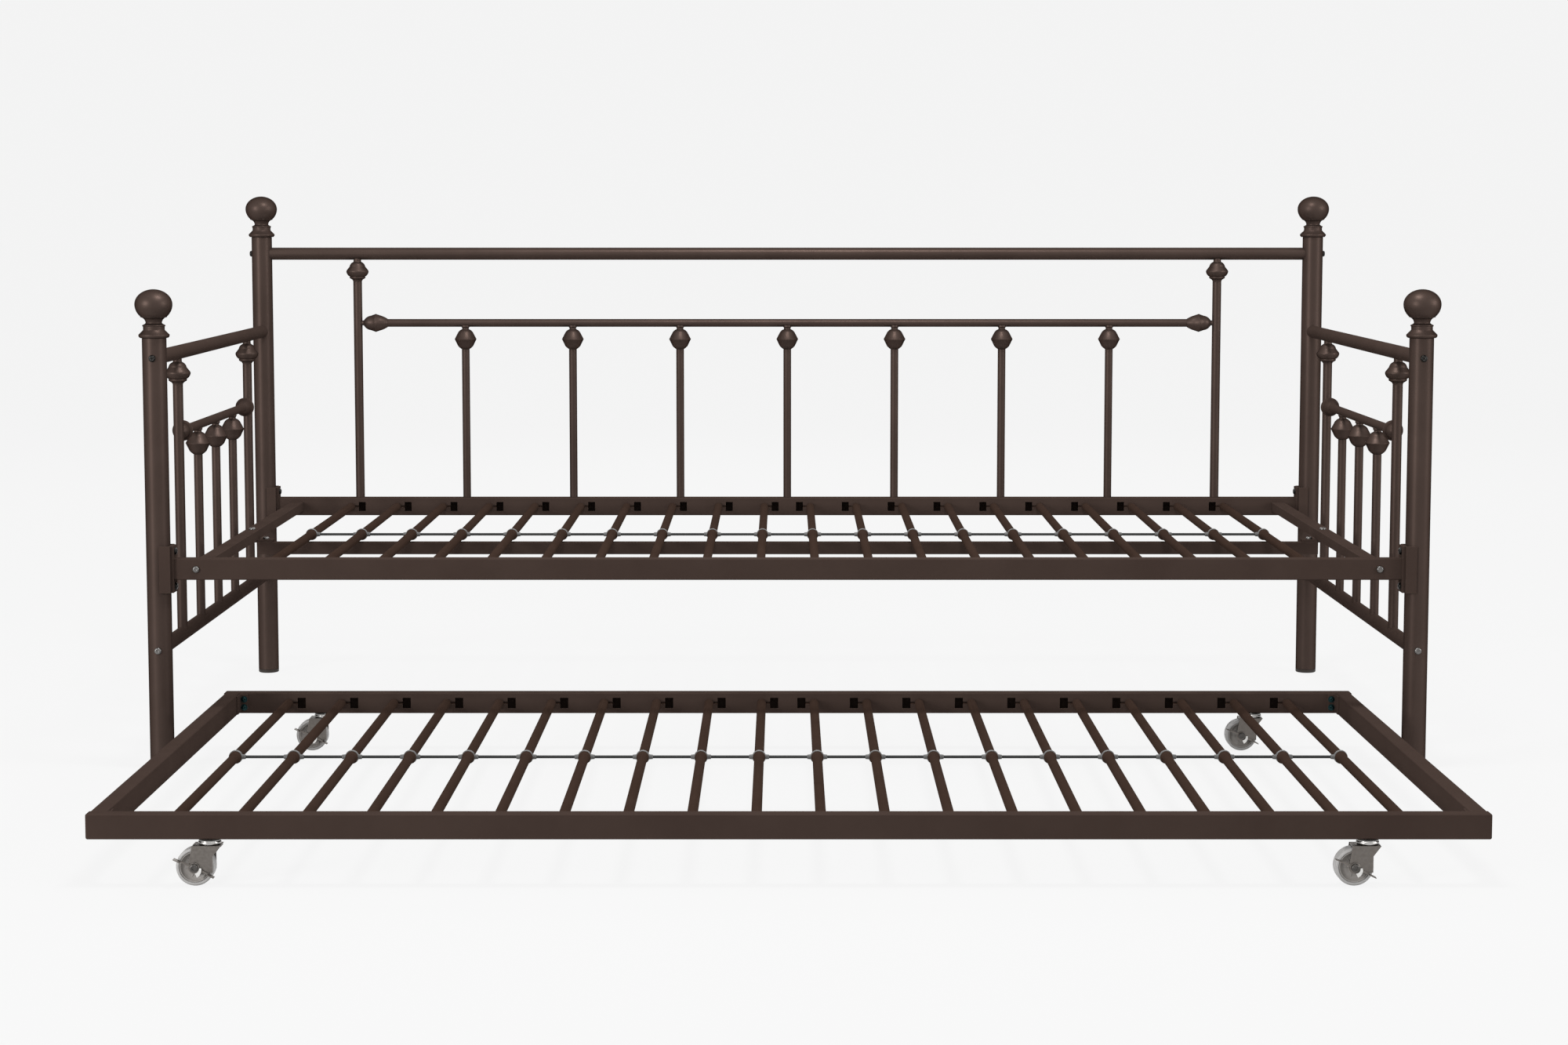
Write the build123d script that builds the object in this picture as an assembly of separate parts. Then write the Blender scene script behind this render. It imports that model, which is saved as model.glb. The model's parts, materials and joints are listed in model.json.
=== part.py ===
from build123d import *
from math import acos, asin, cos, degrees, pi
import os

# Metal daybed with a pull-out trundle, in millimetres.
# X runs along the bed, Y from the front to the back, Z up from the floor.
# The origin is on the floor, in the middle of the whole object with the trundle pulled out.

# Fits
SEAT = 0.05            # between a piece and the surface that it is welded or pushed on to
RUNNING = 0.05         # radial room of a pin that turns
SIDE_PLAY = 0.3        # end room beside a turning piece
BOLT_PLAY = 0.2        # radial room of a bolt in its hole

# Posts
POST_SPAN_X = 1930.0   # between post centres along the bed
POST_SPAN_Y = 1001.0   # between post centres front to back
POST_R = 18.5
POST_WALL = 1.5
FRONT_POST_TOP = 663.5
BACK_POST_TOP = 806.0
FOOT_H = 6.0           # foot cap below the tube's end
FOOT_BEVEL = 2.0
PLUG_H = 18.0          # foot cap and finial inside the tube

# Finial on each post, from the tube's end up
FLANGE_FOOT_R = 20.5   # flange where it sits on the tube
FLANGE_R = 23.5
FLANGE_H = 5.0         # tube's end to the flange's widest line
COVE_R = 16.3          # drum above the flange
COVE_Z = 12.3
RING_R = 17.4
RING_Z = 17.3          # underside of the ring
RING_H = 4.2
NECK_R = 12.4
NECK_Z = 24.0
CUP_R = 20.3           # lip of the cup that holds the ball
CUP_Z = 32.0
BALL_R = 28.5
BALL_Z = 51.0          # widest line of the ball
BALL_BELOW = 26.0      # half height of the ball's lower part, if the cup didn't hide its end
BALL_ABOVE = 23.0      # widest line of the ball below its top
BALL_FLAT_R = 2.0      # small flat on the top, where the lathe held it

# Panel rails and spindles
RAIL_R = 11.1          # top and lower rails of the panels
MID_RAIL_R = 7.2
PANEL_WALL = 1.2
TALL_R = 8.0           # spindles that reach the top rail
SHORT_R = 7.15         # spindles that end under the mid rail
BACK_TOP_Z = 775.5
BACK_MID_Z = 648.5
BACK_TALL_IN = 175.0   # tall spindles of the back inside the posts' centres
BACK_SHORT_COUNT = 7
ARM_TOP_Z = 633.0
ARM_MID_Z = 507.0
ARM_LOW_Z = 185.0
ARM_SHORT_COUNT = 3
ARM_TALL_IN = 179.5    # tall spindles of the arms inside the posts' centres

# Turned knobs
TALL_KNOB_H = 40.0
TALL_KNOB_R = 20.3
TALL_NECK_R = 7.0
TALL_COLLAR_R = 14.4
TALL_STEP = 1.0        # collar to the dome's shoulder
ACORN_H = 41.0
ACORN_R = 20.0
ACORN_NECK_R = 6.2
RAIL_KNOB_L = 47.0
RAIL_KNOB_R = 16.6
RAIL_KNOB_NECK_R = 4.5

# Box-section rails of the bed and the trundle
BOX_D = 22.0           # front to back
BOX_H = 33.0
BOX_WALL = 1.5
BOX_ROUND = 2.0
BED_RAIL_Z = 293.5     # underside of the bed's long rails
TRUNDLE_RAIL_Z = 60.0  # underside of the trundle's rails

# Brackets that hold the bed's long rails to the posts
BRACKET_T = 2.5
BRACKET_H = 72.0
BRACKET_GRIP = 14.0    # length of the flanges beside the post
END_PLATE_T = 4.0
END_PLATE_LIP = 4.0    # plate's reach past the rail, front and back
END_BOLT_RISE = 27.0   # end bolts above and below the rail's middle

# Bolts
BOLT_R = 3.0
HEAD_R = 5.4
HEAD_H = 3.6
SMALL_BOLT_R = 2.0
SMALL_HEAD_R = 3.6
SMALL_HEAD_H = 2.6
BOLT_REACH = 14.0      # shank beyond what the bolt clamps
SMALL_SIDES = 8        # sides of small round sections that repeat

# Cross rails and middle support of the bed
CROSS_IN = 59.0        # cross rails inside the posts' centres
CROSS_W = 23.0
CROSS_H = 16.0
SUPPORT_IN = 9.0       # support bar's ends inside the cross rails' centres
SUPPORT_SIDE = 20.0
PAD_T = 5.0
PAD_IN = 36.0          # pad's reach inwards from the cross rail's centre
PAD_BOLT_IN = 23.0

# Slats
SLAT_R = 7.0
SLAT_COUNT = 20
BED_SLAT_IN = 100.4    # outer slats of the bed inside the cross rails' centres
TRUNDLE_SLAT_IN = 103.75  # outer slats of the trundle inside its ends
SLAT_GAP = 1.0         # slat's shoulder to the rail
TONGUE_W = 10.0
TONGUE_T = 3.0
HOOK_H = 11.0
HOOK_T = 2.5
KEYHOLE_W = 13.0
KEYHOLE_H = 17.0
KEYHOLE_SHIFT = 20.0   # keyhole's square from the slat, towards the middle
SLIT_PLAY = 0.3

# Clips and tie rods half way along the slats
CLIP_R = 9.8
CLIP_W = 9.0
BOSS_SIDE = 7.5
BOSS_X = 14.5          # slat centre to the boss's end
TIE_R = 2.1

# Trundle
PULL_OUT = 840.0       # front posts' centres to the trundle's front face
TRUNDLE_IN = 68.0      # trundle's ends inside the posts' centres
TRUNDLE_Y = 1017.0     # front face to rear face
SIDE_INSET = 2.5       # side rails in from the long rails' ends
END_ROUND = 2.5        # rounded ends of the long rails
CORNER_LEG = 26.0
CORNER_W = 14.0        # short leg, on the long rail
CORNER_T = 2.5
CORNER_H = 29.0
CORNER_BOLT_RISE = 6.5

# Swivel casters
CASTER_IN = 157.0      # king pins inside the trundle's ends
HEADING = 180.0        # the way the wheels trail, from +X
TRAIL = 17.8
DISH_R = 14.8
DISH_H = 7.5
KING_R = 4.0
RIVET_R = 6.5
RIVET_H = 2.5
FORK_T = 2.0
FORK_TRAIL = 21.0      # fork's top plate behind the king pin
FORK_LEAD = 15.5       # fork's top plate ahead of the king pin
LEG_WAIST = 5.5        # narrow part of a leg ahead of the king pin
LEG_WAIST_Z = 39.0
LEG_HEEL_Z = 18.0
LEG_EYE_R = 8.0        # leg's round end at the axle
WHEEL_R = 24.5
WHEEL_W = 22.0
TREAD_ROUND = 4.0
RIM_T = 4.0
WEB_T = 7.0
HUB_R = 7.5
HUB_W = 24.0
RIB_COUNT = 6
RIB_T = 1.6
AXLE_R = 3.0
AXLE_HEAD_R = 5.5
AXLE_HEAD_H = 3.5
LEVER_T = 1.5
LEVER_HUB_R = 6.5
LEVER_L = 28.5         # axle to the tip of each pedal
PEDAL_IN = 8.0         # axle to the root of each pedal
PEDAL_W = 9.0
LEVER_WEB_H = 3.5
LEVER_TILT = 25.0

# Places that follow from the sizes above
DEPTH = PULL_OUT + POST_SPAN_Y + BALL_R
Y_FRONT = PULL_OUT - DEPTH / 2
Y_BACK = Y_FRONT + POST_SPAN_Y
Y_MID = (Y_FRONT + Y_BACK) / 2
X_POST = POST_SPAN_X / 2
BED_Z = BED_RAIL_Z + BOX_H / 2
BED_TOP = BED_RAIL_Z + BOX_H
PLATE_X = X_POST - POST_R - BRACKET_T - END_PLATE_T
END_PLATE_W = BOX_D + 2 * END_PLATE_LIP
TALL_X = X_POST - BACK_TALL_IN
BACK_PITCH = 2 * TALL_X / (BACK_SHORT_COUNT + 1)
ARM_PITCH = (POST_SPAN_Y - 2 * ARM_TALL_IN) / (ARM_SHORT_COUNT + 1)
CROSS_X = X_POST - CROSS_IN
SUPPORT_X = CROSS_X - SUPPORT_IN
BED_PITCH = 2 * (CROSS_X - BED_SLAT_IN) / (SLAT_COUNT - 1)
TRUNDLE_X = X_POST - TRUNDLE_IN
TRUNDLE_PITCH = 2 * (TRUNDLE_X - TRUNDLE_SLAT_IN) / (SLAT_COUNT - 1)
CASTER_X = TRUNDLE_X - CASTER_IN
TRUNDLE_Z = TRUNDLE_RAIL_Z + BOX_H / 2
T_FRONT = Y_FRONT - PULL_OUT + BOX_D / 2
T_REAR = Y_FRONT - PULL_OUT + TRUNDLE_Y - BOX_D / 2
T_MID = (T_FRONT + T_REAR) / 2
T_SIDE = TRUNDLE_X - SIDE_INSET - BOX_D / 2
FORK_TOP = TRUNDLE_RAIL_Z - DISH_H - SIDE_PLAY
LEG_OUT = HUB_W / 2 + SIDE_PLAY + FORK_T

SIDES = (("left", -1), ("right", 1))
ROWS = (("front", Y_FRONT, FRONT_POST_TOP, -1), ("back", Y_BACK, BACK_POST_TOP, 1))


# Shared shapes

def rod(start, end, radius):
    """Round bar between two points."""
    along = Vector(*end) - Vector(*start)
    return Plane(origin=start, z_dir=along) * extrude(Circle(radius), along.length)


def tube(start, end, radius, wall):
    """Round tube between two points."""
    return rod(start, end, radius) - rod(start, end, radius - wall)


def block(low, high):
    """Box between two opposite corners."""
    size = [b - a for a, b in zip(low, high)]
    centre = [(a + b) / 2 for a, b in zip(low, high)]
    return Pos(*centre) * Box(*size)


def outline(start, *steps):
    """Closed face: a step is a point reached in a straight line, a pair for an arc, or an edge."""
    edges = []
    here = start
    for step in steps:
        if isinstance(step, Edge):
            edges.append(step)
            here = tuple(step @ 1)
        elif isinstance(step[0], tuple):
            edges.append(ThreePointArc(here, *step))
            here = step[1]
        else:
            edges.append(Line(here, step))
            here = step
    edges.append(Line(here, start))
    return make_face(edges)


def turned(face):
    """Solid turned about Z from a half outline of radius and height."""
    return revolve(Plane.XZ * face, Axis.Z)


def bar(start, end, radius, sides):
    """Bar of a regular polygon section between two points."""
    along = Vector(*end) - Vector(*start)
    return Plane(origin=start, z_dir=along) * extrude(RegularPolygon(radius, sides), along.length)


def bolt(seat, into, length, radius, head_r, head_h):
    """Hexagon bolt whose head stands on seat and whose shank runs into the part."""
    way = Vector(*into).normalized()
    at = Vector(*seat)
    shank = bar(tuple(at), tuple(at + way * length), radius, SMALL_SIDES)
    return shank + bar(tuple(at), tuple(at - way * head_h), head_r, 6)


def bolt_hole(start, end, radius):
    """Cutter for the hole of a bolt of that radius."""
    return bar(start, end, (radius + BOLT_PLAY) / cos(pi / SMALL_SIDES), SMALL_SIDES)


def save(name, *pieces):
    """Write one node, with each piece as a solid of its own."""
    solids = [solid for piece in pieces for solid in piece.solids()]
    shape = solids[0] if len(solids) == 1 else Compound(solids)
    export_step(shape, f"parts/{name}.step")


# Posts, foot caps and finials

def post(x, y, top, side, row):
    """Post tube with its bolt holes."""
    body = tube((x, y, FOOT_H), (x, y, top), POST_R, POST_WALL)
    for rise in (-END_BOLT_RISE, END_BOLT_RISE):
        body -= bolt_hole((x, y, BED_Z + rise), (x - side * 2 * POST_R, y, BED_Z + rise), BOLT_R)
    for z in (ARM_TOP_Z, ARM_LOW_Z):
        body -= bolt_hole((x, y - 2 * POST_R, z), (x, y + 2 * POST_R, z), BOLT_R)
    if row == "back":
        body -= bolt_hole((x - 2 * POST_R, y, BACK_TOP_Z), (x + 2 * POST_R, y, BACK_TOP_Z), BOLT_R)
    return body


def foot_cap():
    """Plastic foot: a bevelled disc under the tube and a plug inside it."""
    plug_r = POST_R - POST_WALL - SEAT
    return turned(outline(
        (0, 0),
        (POST_R - FOOT_BEVEL, 0),
        (POST_R, FOOT_BEVEL),
        (POST_R, FOOT_H),
        (plug_r, FOOT_H),
        (plug_r, FOOT_H + PLUG_H),
        (0, FOOT_H + PLUG_H),
    ))


def finial():
    """Turned cap: plug, flange, drum, ring, neck, cup and flattened ball."""
    plug_r = POST_R - POST_WALL - SEAT
    sunk = degrees(asin((BALL_Z - CUP_Z) / BALL_BELOW))
    lower = EllipticalCenterArc((0, BALL_Z), BALL_R, BALL_BELOW, start_angle=-sunk, arc_size=sunk)
    top = degrees(acos(BALL_FLAT_R / BALL_R))
    upper = EllipticalCenterArc((0, BALL_Z), BALL_R, BALL_ABOVE, start_angle=0, arc_size=top)
    return turned(outline(
        (0, -PLUG_H),
        (plug_r, -PLUG_H),
        (plug_r, 0),
        (FLANGE_FOOT_R, 0),
        (FLANGE_R, FLANGE_H),
        (COVE_R, COVE_Z),
        (COVE_R, RING_Z),
        (RING_R, RING_Z + RING_H / 4),
        (NECK_R, RING_Z + RING_H),
        (NECK_R, NECK_Z),
        ((NECK_R + 2 * CUP_R) / 3, (NECK_Z + 3 * CUP_Z) / 4),
        (CUP_R, CUP_Z),
        tuple(lower @ 0)[:2],
        lower,
        upper,
        (0, (upper @ 1).Y),
    ))


# Turned knobs, each standing on Z = 0 with its neck upwards

def tall_knob():
    """Knob between a tall spindle and the top rail: collar, ridge, stepped dome and neck."""
    ridge = 0.46 * TALL_KNOB_H
    step = 0.69 * TALL_KNOB_H
    top = TALL_KNOB_H + RAIL_R
    return turned(outline(
        (0, 0),
        (TALL_R, 0),
        (TALL_COLLAR_R, 0.15 * TALL_KNOB_H),
        (TALL_COLLAR_R, 0.23 * TALL_KNOB_H),
        (TALL_KNOB_R, ridge),
        (0.94 * TALL_KNOB_R, 0.54 * TALL_KNOB_H),
        (TALL_COLLAR_R, step),
        (TALL_COLLAR_R - TALL_STEP, 0.78 * TALL_KNOB_H),
        (TALL_NECK_R, 0.93 * TALL_KNOB_H),
        (TALL_NECK_R, top),
        (0, top),
    ))


def acorn_knob():
    """Knob between a short spindle and the mid rail: two cones meeting in a sharp ridge."""
    ridge = 0.45 * ACORN_H
    shoulder = 0.7 * ACORN_R
    top = ACORN_H + MID_RAIL_R
    return turned(outline(
        (0, 0),
        (SHORT_R, 0),
        (shoulder, 0.15 * ACORN_H),
        (ACORN_R, ridge),
        (shoulder, 0.74 * ACORN_H),
        (ACORN_NECK_R, 0.91 * ACORN_H),
        (ACORN_NECK_R, top),
        (0, top),
    ))


def rail_knob():
    """Bullet knob on a mid rail's end, with its neck upwards."""
    ridge = 0.47 * RAIL_KNOB_L
    top = RAIL_KNOB_L + TALL_R
    return turned(outline(
        (0, 0),
        (MID_RAIL_R, 0),
        (0.7 * RAIL_KNOB_R, 0.16 * RAIL_KNOB_L),
        (RAIL_KNOB_R, ridge),
        (0.74 * RAIL_KNOB_R, 0.75 * RAIL_KNOB_L),
        (RAIL_KNOB_NECK_R, 0.95 * RAIL_KNOB_L),
        (RAIL_KNOB_NECK_R, top),
        (0, top),
    ))


# Back panel, between the back posts and standing on the bed's rear rail

def back_panel():
    posts = [rod((s * X_POST, Y_BACK, 0), (s * X_POST, Y_BACK, BACK_POST_TOP), POST_R + SEAT)
             for _, s in SIDES]
    top_ends = (-X_POST, Y_BACK, BACK_TOP_Z), (X_POST, Y_BACK, BACK_TOP_Z)
    save("back_top_rail", tube(*top_ends, RAIL_R, PANEL_WALL) - posts)

    mid_end = TALL_X - TALL_R - RAIL_KNOB_L
    save("back_mid_rail", rod((-mid_end, Y_BACK, BACK_MID_Z), (mid_end, Y_BACK, BACK_MID_Z), MID_RAIL_R))

    tall_foot = BACK_TOP_Z - RAIL_R - TALL_KNOB_H
    top_rail = rod(*top_ends, RAIL_R + SEAT)
    tall = [rod((s * TALL_X, Y_BACK, BED_TOP), (s * TALL_X, Y_BACK, tall_foot), TALL_R) for _, s in SIDES]
    save("back_tall_spindles", *tall)
    save("back_tall_knobs", *[Pos(s * TALL_X, Y_BACK, tall_foot) * tall_knob() - top_rail
                              for _, s in SIDES])

    acorn_foot = BACK_MID_Z - MID_RAIL_R - ACORN_H
    mid_rail = rod((-TALL_X, Y_BACK, BACK_MID_Z), (TALL_X, Y_BACK, BACK_MID_Z), MID_RAIL_R + SEAT)
    places = [BACK_PITCH * (i - (BACK_SHORT_COUNT - 1) / 2) for i in range(BACK_SHORT_COUNT)]
    save("back_short_spindles", *[rod((x, Y_BACK, BED_TOP), (x, Y_BACK, acorn_foot), SHORT_R)
                                  for x in places])
    save("back_acorn_knobs", *[Pos(x, Y_BACK, acorn_foot) * acorn_knob() - mid_rail for x in places])

    knobs = []
    for (_, s), spindle in zip(SIDES, tall):
        start = s * (TALL_X - TALL_R - RAIL_KNOB_L)
        place = Plane(origin=(start, Y_BACK, BACK_MID_Z), z_dir=(s, 0, 0))
        room = rod((s * TALL_X, Y_BACK, BED_TOP), (s * TALL_X, Y_BACK, BACK_TOP_Z), TALL_R + SEAT)
        knobs.append(place * rail_knob() - room)
    save("back_rail_knobs", *knobs)


# Arm panels, between the front and back post of each side

def arm_panels():
    tall_y = [Y_FRONT + ARM_TALL_IN, Y_BACK - ARM_TALL_IN]
    short_y = [tall_y[0] + ARM_PITCH * (i + 1) for i in range(ARM_SHORT_COUNT)]
    tall_foot = ARM_TOP_Z - RAIL_R - TALL_KNOB_H
    acorn_foot = ARM_MID_Z - MID_RAIL_R - ACORN_H
    mid_in = ARM_TALL_IN + TALL_R + RAIL_KNOB_L
    groups = {}

    def add(name, piece):
        groups.setdefault(name, []).append(piece)

    for _, s in SIDES:
        x = s * X_POST
        posts = [rod((x, y, 0), (x, y, top), POST_R + SEAT) for _, y, top, _ in ROWS]
        top_ends = (x, Y_FRONT, ARM_TOP_Z), (x, Y_BACK, ARM_TOP_Z)
        low_ends = (x, Y_FRONT, ARM_LOW_Z), (x, Y_BACK, ARM_LOW_Z)
        add("arm_top_rails", tube(*top_ends, RAIL_R, PANEL_WALL) - posts)
        add("arm_lower_rails", tube(*low_ends, RAIL_R, PANEL_WALL) - posts)
        mid_from = Y_FRONT + mid_in
        mid_to = Y_BACK - mid_in
        add("arm_mid_rails", rod((x, mid_from, ARM_MID_Z), (x, mid_to, ARM_MID_Z), MID_RAIL_R))
        top_rail = rod(*top_ends, RAIL_R + SEAT)
        low_rail = rod(*low_ends, RAIL_R + SEAT)
        mid_rail = rod((x, tall_y[0], ARM_MID_Z), (x, tall_y[1], ARM_MID_Z), MID_RAIL_R + SEAT)
        for y in tall_y:
            room = rod((x, y, ARM_LOW_Z), (x, y, tall_foot), TALL_R + SEAT)
            spindle = rod((x, y, ARM_LOW_Z), (x, y, tall_foot), TALL_R)
            add("arm_tall_spindles", spindle - low_rail)
            add("arm_tall_knobs", Pos(x, y, tall_foot) * tall_knob() - top_rail)
            way = -1 if y < Y_MID else 1
            start = Y_MID + way * ((tall_y[1] - tall_y[0]) / 2 - TALL_R - RAIL_KNOB_L)
            place = Plane(origin=(x, start, ARM_MID_Z), z_dir=(0, way, 0))
            add("arm_rail_knobs", place * rail_knob() - room)
        for y in short_y:
            spindle = rod((x, y, ARM_LOW_Z), (x, y, acorn_foot), SHORT_R)
            add("arm_short_spindles", spindle - low_rail)
            add("arm_acorn_knobs", Pos(x, y, acorn_foot) * acorn_knob() - mid_rail)
    for name, pieces in groups.items():
        save(name, *pieces)


def panel_bolts():
    """Bolts through the posts into the ends of the panels' rails."""
    pieces = []
    length = 2 * POST_R + BOLT_REACH
    for _, s in SIDES:
        for _, y, _, way in ROWS:
            for z in (ARM_TOP_Z, ARM_LOW_Z):
                seat = (s * X_POST, y + way * POST_R, z)
                pieces.append(bolt(seat, (0, -way, 0), length, BOLT_R, HEAD_R, HEAD_H))
        seat = (s * (X_POST + POST_R), Y_BACK, BACK_TOP_Z)
        pieces.append(bolt(seat, (-s, 0, 0), length, BOLT_R, HEAD_R, HEAD_H))
    save("panel_bolts", *pieces)


# Slatted decks, shared by the bed and the trundle

def box_rail(half, y, z, end_round):
    """Hollow box rail along X with closed ends."""
    low = (-half, y - BOX_D / 2, z - BOX_H / 2)
    high = (half, y + BOX_D / 2, z + BOX_H / 2)
    body = block(low, high)
    body = fillet(body.edges().filter_by(Axis.X), BOX_ROUND)
    if end_round:
        ends = body.edges().filter_by(Axis.Y).filter_by(lambda e: e.length > BOX_D / 2)
        body = fillet(ends, end_round)
    inner_low = [v + BOX_WALL for v in low]
    inner_high = [v - BOX_WALL for v in high]
    return body - block(inner_low, inner_high)


def slat_places(pitch):
    return [pitch * (i - (SLAT_COUNT - 1) / 2) for i in range(SLAT_COUNT)]


def keyholes(pitch, wall_y, z):
    """Cutters for one rail's inner wall: a square for the hook and a slit to the slat's place."""
    cutters = []
    for x in slat_places(pitch):
        way = 1 if x > 0 else -1
        hole = x - way * KEYHOLE_SHIFT
        far = x + way * (TONGUE_W / 2 + SLIT_PLAY)
        slit_h = TONGUE_T / 2 + SLIT_PLAY
        square = (KEYHOLE_W / 2, BOX_WALL, KEYHOLE_H / 2)
        cutter = block((hole - square[0], wall_y - square[1], z - square[2]),
                       (hole + square[0], wall_y + square[1], z + square[2]))
        cutter += block((min(hole, far), wall_y - BOX_WALL, z - slit_h),
                        (max(hole, far), wall_y + BOX_WALL, z + slit_h))
        cutters.append(cutter)
    return cutters


def slat(x, y_low, y_high, z):
    """Round slat between two rail faces, with a flat tongue and a hook at each end."""
    body = rod((x, y_low + SLAT_GAP, z), (x, y_high - SLAT_GAP, z), SLAT_R)
    hook_in = BOX_WALL + SLIT_PLAY
    for face, way in ((y_low, -1), (y_high, 1)):
        tip = face + way * (hook_in + HOOK_T)
        root = face - way * (SLAT_GAP + TONGUE_T)
        body += block((x - TONGUE_W / 2, min(root, tip), z - TONGUE_T / 2),
                      (x + TONGUE_W / 2, max(root, tip), z + TONGUE_T / 2))
        hook = face + way * hook_in
        body += block((x - TONGUE_W / 2, min(hook, tip), z - HOOK_H / 2),
                      (x + TONGUE_W / 2, max(hook, tip), z + HOOK_H / 2))
    return body


def clip(x, y, z):
    """Plastic clip: a ring round the slat with a boss on each side."""
    body = bar((x, y - CLIP_W / 2, z), (x, y + CLIP_W / 2, z), CLIP_R, SMALL_SIDES)
    body += block((x - BOSS_X, y - BOSS_SIDE / 2, z - BOSS_SIDE / 2),
                  (x + BOSS_X, y + BOSS_SIDE / 2, z + BOSS_SIDE / 2))
    hole = (SLAT_R + SEAT) / cos(pi / SMALL_SIDES)
    return body - bar((x, y - CLIP_W, z), (x, y + CLIP_W, z), hole, SMALL_SIDES)


def deck(name, pitch, y_low, y_high, z):
    """Slats, clips and the tie rods between the clips."""
    y = (y_low + y_high) / 2
    places = slat_places(pitch)
    save(f"{name}_slats", *[slat(x, y_low, y_high, z) for x in places])
    save(f"{name}_slat_clips", *[clip(x, y, z) for x in places])
    rods = [bar((a + BOSS_X, y, z), (b - BOSS_X, y, z), TIE_R, SMALL_SIDES)
            for a, b in zip(places, places[1:])]
    save(f"{name}_tie_rods", *rods)


# Bed frame

def bed_frame():
    half_d = BOX_D / 2
    plates = []
    for name, y, inner in (("front", Y_FRONT, 1), ("rear", Y_BACK, -1)):
        rail = box_rail(PLATE_X, y, BED_Z, 0)
        for _, s in SIDES:
            rail -= bolt_hole((s * CROSS_X, y - BOX_D, BED_Z), (s * CROSS_X, y + BOX_D, BED_Z), BOLT_R)
            plates.append(end_plate(s, y))
        rail -= keyholes(BED_PITCH, y + inner * half_d, BED_Z)
        save(f"bed_{name}_rail", rail)
    save("bed_rail_end_plates", *plates)
    for name, s in SIDES:
        x = s * CROSS_X
        low = (x - CROSS_W / 2, Y_FRONT + half_d, BED_Z - CROSS_H / 2)
        high = (x + CROSS_W / 2, Y_BACK - half_d, BED_Z + CROSS_H / 2)
        body = block(low, high) - block([v + BOX_WALL for v in low], [v - BOX_WALL for v in high])
        body -= bolt_hole((x, Y_FRONT, BED_Z), (x, Y_BACK, BED_Z), BOLT_R)
        body -= bolt_hole((x, Y_MID, BED_Z - CROSS_H), (x, Y_MID, BED_Z + CROSS_H), BOLT_R)
        save(f"bed_{name}_cross_rail", body)
    deck("bed", BED_PITCH, Y_FRONT + half_d, Y_BACK - half_d, BED_Z)


def end_plate(s, y):
    """Plate welded on a long rail's end, taller than the rail, with a bolt hole above and below it."""
    near = s * PLATE_X
    far = s * (PLATE_X + END_PLATE_T)
    plate = block((min(near, far), y - END_PLATE_W / 2, BED_Z - BRACKET_H / 2),
                  (max(near, far), y + END_PLATE_W / 2, BED_Z + BRACKET_H / 2))
    for rise in (-END_BOLT_RISE, END_BOLT_RISE):
        plate -= bolt_hole((near - s, y, BED_Z + rise), (far + s, y, BED_Z + rise), BOLT_R)
    return plate


def post_brackets():
    """Channel brackets that grip the posts where the bed's long rails meet them."""
    pieces = []
    half_w = POST_R + SEAT + BRACKET_T
    for _, s in SIDES:
        for _, y, _, _ in ROWS:
            web = X_POST - POST_R - BRACKET_T
            xs = sorted((s * web, s * (web + BRACKET_T + BRACKET_GRIP)))
            body = block((xs[0], y - half_w, BED_Z - BRACKET_H / 2),
                         (xs[1], y + half_w, BED_Z + BRACKET_H / 2))
            room = sorted((s * (web + BRACKET_T), s * X_POST))
            body -= block((room[0], y - POST_R - SEAT, BED_Z - BRACKET_H),
                          (room[1], y + POST_R + SEAT, BED_Z + BRACKET_H))
            for rise in (-END_BOLT_RISE, END_BOLT_RISE):
                at = BED_Z + rise
                body -= bolt_hole((s * (web - 1), y, at), (s * X_POST, y, at), BOLT_R)
            pieces.append(body)
    save("post_brackets", *pieces)


def rail_bolts():
    """Bolts of the bed's long rails, cross rails and middle support."""
    pieces = []
    clamp = END_PLATE_T + BRACKET_T + POST_WALL
    cross_top = BED_Z + CROSS_H / 2
    for _, s in SIDES:
        for _, y, _, way in ROWS:
            for rise in (-END_BOLT_RISE, END_BOLT_RISE):
                seat = (s * PLATE_X, y, BED_Z + rise)
                pieces.append(bolt(seat, (s, 0, 0), clamp + BOLT_REACH / 2, BOLT_R, HEAD_R, HEAD_H))
            seat = (s * CROSS_X, y + way * BOX_D / 2, BED_Z)
            pieces.append(bolt(seat, (0, -way, 0), BOX_D + BOLT_REACH, BOLT_R, HEAD_R, HEAD_H))
        seat = (s * CROSS_X, Y_MID, cross_top)
        pieces.append(bolt(seat, (0, 0, -1), CROSS_H + PAD_T, BOLT_R, HEAD_R, HEAD_H))
        seat = (s * (CROSS_X - PAD_BOLT_IN), Y_MID, cross_top - CROSS_H)
        pieces.append(bolt(seat, (0, 0, -1), PAD_T + BOLT_REACH / 2, BOLT_R, HEAD_R, HEAD_H))
    save("rail_bolts", *pieces)


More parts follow.
